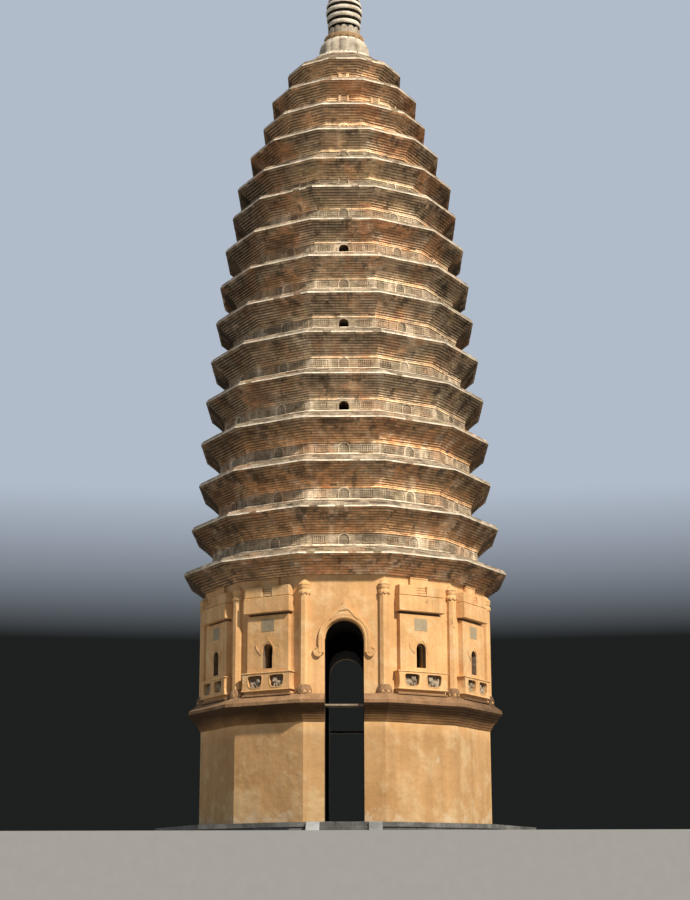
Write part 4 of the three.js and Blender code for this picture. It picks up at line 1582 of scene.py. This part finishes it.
@dataclass
class NeckReliefs:
    """Blind doors, lattice windows and vent surrounds on the neck under an eave."""

    tier: EaveTier
    door_half: float = 0.18
    door_band: float = 0.055
    door_out: float = 0.04
    panel_out: float = 0.012
    vent_half: float = 0.19
    vent_foot: float = 0.03
    vent_spring: float = 0.245
    vent_band: float = 0.08
    window_half: float = 0.22
    window_place: float = 0.66
    window_span: Pair = (0.14, 0.84)
    rail: float = 0.035
    bars: int = 5
    bar_half: float = 0.02
    frame_foot: float = 0.05
    painted_shade_tone: float = -1.0
    band_tone: float = 1.3
    gabled_vent: int = 9
    framed_door: int = 14
    gabled_door: int = 15
    least_windowed_side: float = 1.25

    @property
    def near(self) -> float:
        """Depth of the neck's front face."""
        return -self.tier.neck * FLAT_SHARE

    @property
    def height(self) -> float:
        """Height of the neck."""
        return self.tier.foot - self.tier.string_foot - self.tier.bottom

    def build(self, finishes: Finishes) -> None:
        """Build the reliefs of all the sides."""
        number = self.tier.number
        neck = finishes.top_eave if number >= FIRST_TOP_TIER else finishes.mid_neck
        coats = [neck, finishes.mortar]
        turns = list(ALL_TURNS)
        if number in self.tier.vent_tiers:
            turns.remove(0)
            self.hang(self.vent(), [0], f"vent_surround_{number:02d}", coats)
        if number == self.gabled_door:
            turns = list(MAIN_TURNS.values())
        shapes = {self.framed_door: self.square_door, self.gabled_door: self.gabled}
        self.hang(shapes.get(number, self.door)(), turns, f"blind_doors_{number:02d}", coats)
        if self.tier.neck * SIDE_SHARE > self.least_windowed_side:
            self.hang(self.windows(), ALL_TURNS, f"lattice_windows_{number:02d}", coats)

    def hang(self, s: Sketch, turns: Sequence[float], name: str, coats: Sequence[Coat]) -> None:
        """Repeat a relief at its turns and make the piece."""
        s.spread(turns)
        s.wobble(s.bm.verts, 0.006, 3.0)
        s.map_sides(self.tier.course, self.tier.foot)
        s.piece(name, coats, slot="weathered_brick")

    def strip(
        self, s: Sketch, across: Pair, span: Pair, out: float, back: float = 0.01, slot: int = 0,
        bevel: float = 0.0,
    ) -> Verts:
        """Add a block that stands out from the neck's face.

        Args:
            s: mesh that takes it.
            across: left and right side.
            span: foot and top.
            out: how far it stands out.
            back: how far it reaches into the neck.
            slot: material slot.
            bevel: width of its worn edges.

        Returns:
            The new vertices.
        """
        low, high = (across[0], self.near - out, span[0]), (across[1], self.near + back, span[1])
        return s.block(low, high, slot, bevel)

    def band(self, width: float, out: float, back: float) -> Outline:
        """Plain cross-section of a band round an arch."""
        near = self.near
        return [(0, near + back), (0, near - out), (width, near - out), (width, near + back)]

    def door(self) -> Sketch:
        """Arched band of paler brick round a panel darkened as painted shade."""
        s = Sketch(200 + self.tier.number)
        low, half = self.tier.bottom + 0.01, self.door_half
        spring = low + self.height * 0.50
        panel = [(-half, low), (half, low)] + arc((0, spring), half, 0, 180, 10)
        # Painted shade: the panel is darkened.
        s.toned(s.slab(panel, self.near - self.panel_out, self.near + 0.02), self.painted_shade_tone)
        band = self.band(self.door_band, self.door_out, 0.01)
        s.toned(s.arch_band(half, spring, low, band, 10), self.band_tone)
        return s

    def frame(self, s: Sketch, half: float, span: Pair, jamb: float, depths: Pair) -> None:
        """Add the sunk panel and the two jambs of a square door, darkened as painted shade, the panel most.

        Args:
            s: mesh that takes them.
            half: half the panel's width.
            span: foot and top.
            jamb: width of a jamb.
            depths: how far the panel and the jambs stand out.
        """
        panel = self.strip(s, (-half, half), span, depths[0])
        for side in (-1, 1):
            left, right = sorted((side * half, side * (half + jamb)))
            self.strip(s, (left, right), span, depths[1])
        # Painted shade: the jambs are darkened and the panel twice as much.
        s.toned(list(s.bm.verts), self.painted_shade_tone)
        s.toned(panel, 2 * self.painted_shade_tone)

    def gabled(self) -> Sketch:
        """Niche under a small gable, standing out over the first courses."""
        s = Sketch(210 + self.tier.number)
        low, high = self.tier.bottom + self.frame_foot, self.tier.bottom + 0.50
        half = self.door_half * 0.55
        self.frame(s, half, (low, high), 0.12, (0.095, 0.12))
        head = self.strip(s, (-half - 0.20, half + 0.20), (high - 0.001, high + 0.035), 0.14, bevel=0.006)
        gable = [(-half - 0.17, high + 0.034), (half + 0.17, high + 0.034), (0, high + 0.20)]
        # Painted shade: the head and the gable are darkened.
        s.toned(head + s.slab(gable, self.near - 0.135, self.near + 0.01), self.painted_shade_tone)
        return s

    def square_door(self) -> Sketch:
        """Square brick frame round a panel, standing out over the first courses."""
        s = Sketch(220 + self.tier.number)
        low, high = self.tier.bottom + self.frame_foot, self.tier.bottom + 0.58
        half, band = self.door_half * 0.65, 0.10
        self.frame(s, half, (low, high), band, (0.085, 0.115))
        across = (-half - band, half + band)
        # Painted shade: the head is darkened.
        s.toned(self.strip(s, across, (high - 0.001, high + band), 0.12, bevel=0.006), self.painted_shade_tone)
        return s

    def vent(self) -> Sketch:
        """Surround of a real vent: a plain band with a flat or gabled head above it."""
        s = Sketch(230 + self.tier.number)
        low, half = self.tier.bottom + self.vent_foot, self.vent_half
        spring = self.tier.bottom + min(self.vent_spring, self.height - half - 0.05)
        s.arch_band(half, spring, low, self.band(self.vent_band, 0.03, 0.04), 12)
        sill = (low - 0.028, low - 0.002)
        self.strip(s, (-0.26, 0.26), sill, 0.035, back=-0.001, slot=1, bevel=0.004)
        crown = spring + half + 0.06
        if self.tier.number == self.gabled_vent:
            reach = 0.27
            self.strip(s, (-reach, reach), (crown, crown + 0.04), 0.045, slot=1, bevel=0.006)
            gable = [(-reach * 0.9, crown + 0.039), (reach * 0.9, crown + 0.039), (0, crown + reach * 0.75)]
            s.slab(gable, self.near - 0.035, self.near + 0.01)
        else:
            self.strip(s, (-0.25, 0.25), (crown, crown + 0.05), 0.04, slot=1, bevel=0.006)
        return s

    def windows(self) -> Sketch:
        """Pair of lattice windows: frames with upright bars."""
        s = Sketch(260 + self.tier.number)
        low, high = (self.tier.bottom + self.height * share for share in self.window_span)
        rail, out = self.rail, 0.03
        for side in (-1, 1):
            x = side * self.tier.neck * SIDE_SHARE / 2 * self.window_place
            left, right = x - self.window_half, x + self.window_half
            for foot in (low, high - rail):
                self.strip(s, (left, right), (foot, foot + rail), out)
            for edge in (left, right):
                self.strip(s, (edge - rail / 2, edge + rail / 2), (low, high), out)
            pitch = 2 * self.window_half / (self.bars + 1)
            for bar in range(1, self.bars + 1):
                across = (left + bar * pitch - self.bar_half, left + bar * pitch + self.bar_half)
                self.strip(s, across, (low + rail, high - rail), 0.022, back=0.0)
        return s


@dataclass
class Finial:
    """Stone finial: lotus bell, petalled cup, seven rings and a jewel."""

    foot: float = 32.92
    bell_foot_radius: float = 1.39
    bell_foot_height: float = 0.13
    bell_radius: float = 1.06
    bell_top_radius: float = 0.85
    bell_height: float = 1.02
    foot_slabs: int = 15
    cup_rim: float = 0.87
    cup_waist: float = 0.72
    cup_drum: float = 0.69
    cup_height: float = 0.70
    scallops: int = 18
    rings: tuple[Pair, ...] = (
        (0.70, 0.32), (0.74, 0.32), (0.78, 0.31), (0.75, 0.28), (0.68, 0.24), (0.58, 0.20), (0.47, 0.15),
    )
    mast_share: float = 0.62
    jewel_radius: float = 0.27
    jewel_curve: tuple[Pair, ...] = (
        (0.0, 0.62), (0.06, 0.70), (0.12, 0.62), (0.2, 0.88), (0.32, 1.0), (0.45, 0.97), (0.6, 0.78),
        (0.74, 0.5), (0.87, 0.24),
    )
    total: float = 36.78
    petals: int = 16
    drum_petals: int = 14
    lump_share: float = 0.45

    @property
    def cup_foot(self) -> float:
        """Height where the cup starts."""
        return self.foot + self.bell_height

    def build(self, finishes: Finishes) -> None:
        """Build the four parts from the bell up."""
        self.bell(finishes)
        self.cup(finishes)
        top = self.ring_stack(finishes, self.cup_foot + self.cup_height)
        self.jewel(finishes, top)

    def bell(self, finishes: Finishes) -> None:
        """Build the turned-down lotus, fluted by its petals, on its broken foot slabs."""
        s = Sketch(90)
        foot, top = self.foot, self.cup_foot
        ledge = foot + self.bell_foot_height
        base, waist = self.bell_foot_radius - 0.16, self.bell_radius * 0.93
        core = [(0, foot), (base, foot), (base, ledge - 0.02), (waist, ledge - 0.01), (waist, foot + 0.62)]
        # Painted shade: the core between the petals takes the dark recess finish.
        s.spin_profile(core + [(self.bell_top_radius * 0.94, top), (0, top)], 1, 48)
        drops = ((0.16, -0.06), (0.36, -0.02), (0.62, -0.05), (0.82, -0.01))
        fall = [(self.bell_top_radius * 0.93, top), (self.bell_top_radius + 0.03, top - 0.03)]
        fall += [(self.bell_radius + out, top - down) for down, out in drops]
        PetalRing(self.petals, fall, bulge=0.035, rounding=0.14, thickness=0.05).add(s)
        rim = [(self.bell_top_radius * 0.9, top + 0.012), (self.bell_top_radius + 0.05, top - 0.002)]
        rim.append((self.bell_top_radius + 0.10, top - 0.15))
        PetalRing(self.petals, rim, bulge=0.03, rounding=0.45).add(s, slot=2)
        self.slabs(s, foot, ledge)
        s.wobble(s.bm.verts, 0.014, 2.6)
        coats = [finishes.bell_stone, finishes.grime_and_shade, finishes.pale_stone]
        s.piece("finial_bell_petals", coats, slot="pale_stone", replaces=["finial_lotus_bell"], smooth=40)

    def slabs(self, s: Sketch, foot: float, ledge: float) -> None:
        """Add the broken slabs round the bell's foot, with a few stone lumps on them."""
        half = math.pi * self.bell_foot_radius / self.foot_slabs
        for number in range(self.foot_slabs):
            edge = self.bell_foot_radius - s.chance.choice((0.0, 0.0, 0.03, 0.09))
            high = ledge - s.chance.uniform(0.0, 0.04)
            shift = s.chance.uniform(-0.03, 0.03)
            low = (shift - half * 0.93, -edge, foot + 0.001)
            slab = s.block(low, (shift + half * 0.93, -0.9, high), 2, 0.02)
            if s.chance.random() < self.lump_share:
                slab += s.ball((shift, 0.12 - edge, high + 0.02), (0.09, 0.07, 0.06), 2)
            s.turn(slab, turned_by((number + 0.5) * 360 / self.foot_slabs))

    def cup(self, finishes: Finishes) -> None:
        """Build the brown scalloped band under a drum of upright petals."""
        s = Sketch(91)
        foot, top = self.cup_foot, self.cup_foot + self.cup_height
        rim, drum = self.cup_rim, self.cup_drum
        core = [(0, foot), (self.cup_waist * 0.96, foot), (rim * 0.92, foot + 0.1), (rim * 0.97, foot + 0.16)]
        core += [(rim * 0.97, foot + 0.25), (drum * 0.9, foot + 0.27), (0, foot + 0.27)]
        s.spin_profile(core, 1, 48)
        drops = ((-0.03, 0.262), (-0.012, 0.24), (-0.014, 0.14), (-0.03, 0.055))
        hang = [(rim + out, foot + level) for out, level in drops]
        PetalRing(self.scallops, hang, bulge=0.012, rounding=0.30, thickness=0.04).add(s, slot=1)
        # Painted shade: the drum's core behind its petals is very dark.
        s.spin_profile(oblong(0, drum * 0.93, foot + 0.26, top), 2, 48)
        rise = [(drum * 0.90, foot + 0.25), (drum * 0.96, foot + 0.42), (drum, top - 0.03)]
        PetalRing(self.drum_petals, rise, bulge=0.022, rounding=0.22).add(s)
        s.wobble(s.bm.verts, 0.008, 3.0)
        coats = [finishes.bell_stone, finishes.cup_stone, finishes.shade_black]
        s.piece("finial_cup_petals", coats, slot="pale_stone", replaces=["finial_cup"], smooth=40)

    def ring_stack(self, finishes: Finishes, foot: float) -> float:
        """Build the stacked rings round their mast, painted very dark underneath as shade.

        Args:
            finishes: all the finishes.
            foot: height where the lowest ring starts.

        Returns:
            Height of the top of the highest ring.
        """
        s = Sketch(92)
        low = foot
        for radius, height in self.rings:
            mast = radius * self.mast_share
            # Painted shade: the mast between the rings is very dark.
            s.spin_profile(oblong(0, mast, low, low + height), 1, 32)
            shares = ((-0.03, 0.28), (0.0, 0.38), (0.012, 0.60), (0.0, 0.82), (-0.04, 0.90))
            edge = [(radius + out, low + height * level) for out, level in shares]
            ring = [(mast * 0.95, low + height * 0.18), *edge, (mast * 0.95, low + height * 0.985)]
            faces = s.spin_profile(ring, 0, 48)
            # Painted shade: the rings' undersides are very dark.
            s.mark([face for face in faces if face.normal.z < -0.7], 1, 0.0)
            low += height
        s.wobble(s.bm.verts, 0.008, 3.0)
        coats = [finishes.pale_stone, finishes.shade_black]
        s.piece("finial_ring_stack", coats, slot="pale_stone", replaces=["finial_rings"], smooth=40)
        return low

    def jewel(self, finishes: Finishes, foot: float) -> None:
        """Build the jewel on its small collar."""
        s = Sketch(93)
        high = self.total - foot
        curve = [(self.jewel_radius * wide, foot + high * share) for share, wide in self.jewel_curve]
        s.spin_profile([(0, foot), *curve, (0, self.total)], 0, 24)
        replaced = ["finial_jewel"]
        s.piece("finial_jewel_stone", [finishes.pale_stone], slot="pale_stone", replaces=replaced, smooth=40)


@dataclass
class Tower:
    """The whole tower: dresses the solids that stay and builds every finer piece."""

    frame: dict
    finishes: Finishes
    tiers: int = 15
    setback_share: float = 0.28
    corbel_share: float = 0.44
    top_rise: float = 0.80
    overhang: float = 0.86
    overhang_loss: float = 0.022
    roof_edge: float = 1.45

    def build(self) -> None:
        """Build everything in order from the ground up."""
        self.dress_solids()
        parts = [Platform(), EntranceSteps(), Waist(), CornerColumn(), NicheShrine(), DoorHead()]
        for part in [*parts, *self.eaves(), Finial()]:
            part.build(self.finishes)

    def dress_solids(self) -> None:
        """Give every solid that stays in view its finish."""
        for name, node in self.frame["nodes"].items():
            finish = self.finishes.plaster
            if name.startswith("eave_tier"):
                finish = self.finishes.by_tier(int(name[-2:]), "neck")
            node.data.materials.clear()
            node.data.materials.append(finish)

    def eaves(self) -> list[EaveTier]:
        """Work out the eaves from the boxes of their solids, from the lowest up."""
        boxes = [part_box(f"eave_tier_{number:02d}") for number in range(1, self.tiers + 1)]
        lips = [0.0] * self.tiers
        lips[-1] = boxes[-1][1].z - self.top_rise
        for i in range(self.tiers - 2, -1, -1):
            lips[i] = (boxes[i][1].z - self.setback_share * lips[i + 1]) / (1 - self.setback_share)
        radii = [box[1].x / FLAT_SHARE for box in boxes]
        upper = [radii[i] - self.overhang + self.overhang_loss * i for i in range(1, self.tiers)]
        necks = [UPPER_RADIUS, *upper, self.roof_edge]
        found = []
        for i in range(self.tiers):
            foot = UPPER_TOP if i == 0 else lips[i] - self.corbel_share * (lips[i] - lips[i - 1])
            found.append(EaveTier(
                number=i + 1, bottom=boxes[i][0].z, top=boxes[i][1].z, lip_radius=radii[i],
                next_neck=necks[i + 1], lip=lips[i], foot=foot, neck=necks[i],
            ))
        return found


@dataclass
class Studio:
    """Camera, light, and the pale terrace and floor that the tower stands on."""

    eye: Triple = (0.534, -67.848, -1.776)
    pitch: float = 14.615
    roll: float = -0.124
    lens: float = 69.16
    sensor: float = 36.0
    sight: float = 500.0
    terrace_half: float = 22.0
    terrace_depth: float = 3.5
    terrace_gap: float = 0.002
    floor_half: float = 150.0
    floor_thickness: float = 0.4
    sun_turn: float = 36.0
    sun_rise: float = 41.0
    sun_power: float = 5.7
    sun_size: float = 3.0
    sun_colour: Triple = (1.0, 0.93, 0.82)
    haze: Pair = (0.145, 0.23)
    horizon: Triple = (0.013, 0.015, 0.014)
    zenith: Triple = (0.44, 0.50, 0.59)

    def build(self) -> None:
        """Set up camera, lights and floor."""
        bpy.context.scene.view_settings.view_transform = "Standard"
        self.camera()
        self.key_light()
        self.sky()
        self.ground()

    def camera(self) -> None:
        """Place the camera where the photograph was taken."""
        data = bpy.data.cameras.new("camera")
        data.lens = self.lens
        data.sensor_width = self.sensor
        data.clip_end = self.sight
        made = linked("camera", data)
        eye = Vector(self.eye)
        level = Vector((-eye.x, -eye.y, 0)).normalized()
        pitch = math.radians(self.pitch)
        ahead = level * math.cos(pitch) + Vector((0, 0, math.sin(pitch)))
        right = level.cross(Vector((0, 0, 1))).normalized()
        basis = Matrix((right, right.cross(ahead), -ahead)).transposed().to_4x4()
        roll = Matrix.Rotation(math.radians(self.roll), 4, "Z")
        made.matrix_world = Matrix.Translation(eye) @ basis @ roll
        bpy.context.scene.camera = made

    def key_light(self) -> None:
        """Add a high warm key light from the front right."""
        data = bpy.data.lights.new("key", "SUN")
        data.energy = self.sun_power
        data.angle = math.radians(self.sun_size)
        data.color = self.sun_colour
        key = linked("key", data)
        toward = heading(self.sun_turn) * math.cos(math.radians(self.sun_rise))
        toward.z = math.sin(math.radians(self.sun_rise))
        key.rotation_mode = "QUATERNION"
        key.rotation_quaternion = toward.to_track_quat("Z", "Y")

    def sky(self) -> None:
        """Add a soft backdrop that is dim at the horizon and pale above."""
        world = bpy.data.worlds.new("sky")
        world.use_nodes = True
        tree = world.node_tree
        tree.nodes.clear()
        place = tree.nodes.new("ShaderNodeTexCoord")
        split = tree.nodes.new("ShaderNodeSeparateXYZ")
        ramp = tree.nodes.new("ShaderNodeValToRGB")
        back = tree.nodes.new("ShaderNodeBackground")
        out = tree.nodes.new("ShaderNodeOutputWorld")
        tree.links.new(place.outputs["Generated"], split.inputs[0])
        tree.links.new(split.outputs[2], ramp.inputs[0])
        tree.links.new(ramp.outputs[0], back.inputs[0])
        tree.links.new(back.outputs[0], out.inputs[0])
        stops = ramp.color_ramp.elements
        for stop, level, colour in zip(stops, self.haze, (self.horizon, self.zenith)):
            stop.position, stop.color = level, (*colour, 1)
        bpy.context.scene.world = world

    def ground(self) -> None:
        """Add the terrace and the lower floor round it."""
        finish = self.floor_finish()
        level = -self.terrace_depth
        for name, half, low, high in (
            ("terrace", self.terrace_half, level, -self.terrace_gap),
            ("lower_floor", self.floor_half, level - self.floor_thickness, level),
        ):
            bm = bmesh.new()
            size = Matrix.Diagonal((half * 2, half * 2, high - low, 1))
            place = Matrix.Translation((0, 0, (low + high) / 2)) @ size
            bmesh.ops.create_cube(bm, size=1.0, matrix=place)
            mesh = bpy.data.meshes.new(name)
            bm.to_mesh(mesh)
            bm.free()
            mesh.materials.append(finish)
            linked(name, mesh)

    @staticmethod
    def floor_finish() -> Coat:
        """Plain pale floor with a faint grain."""
        g = Graph("studio_floor")
        grain = g.noise(3.0)
        colour = g.mix(grain, (0.235, 0.230, 0.222), (0.265, 0.260, 0.252))
        return g.finish(colour, 0.8, grain, 0.001)


def main() -> None:
    """Load the solids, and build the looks."""
    logging.basicConfig(level=logging.INFO, format="%(name)s: %(message)s")
    noise.seed_set(WOBBLE_SEED)
    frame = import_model()
    Studio().build()
    Tower(frame, Finishes.mixed()).build()
    bpy.context.view_layer.update()


if __name__ == "__main__":
    main()
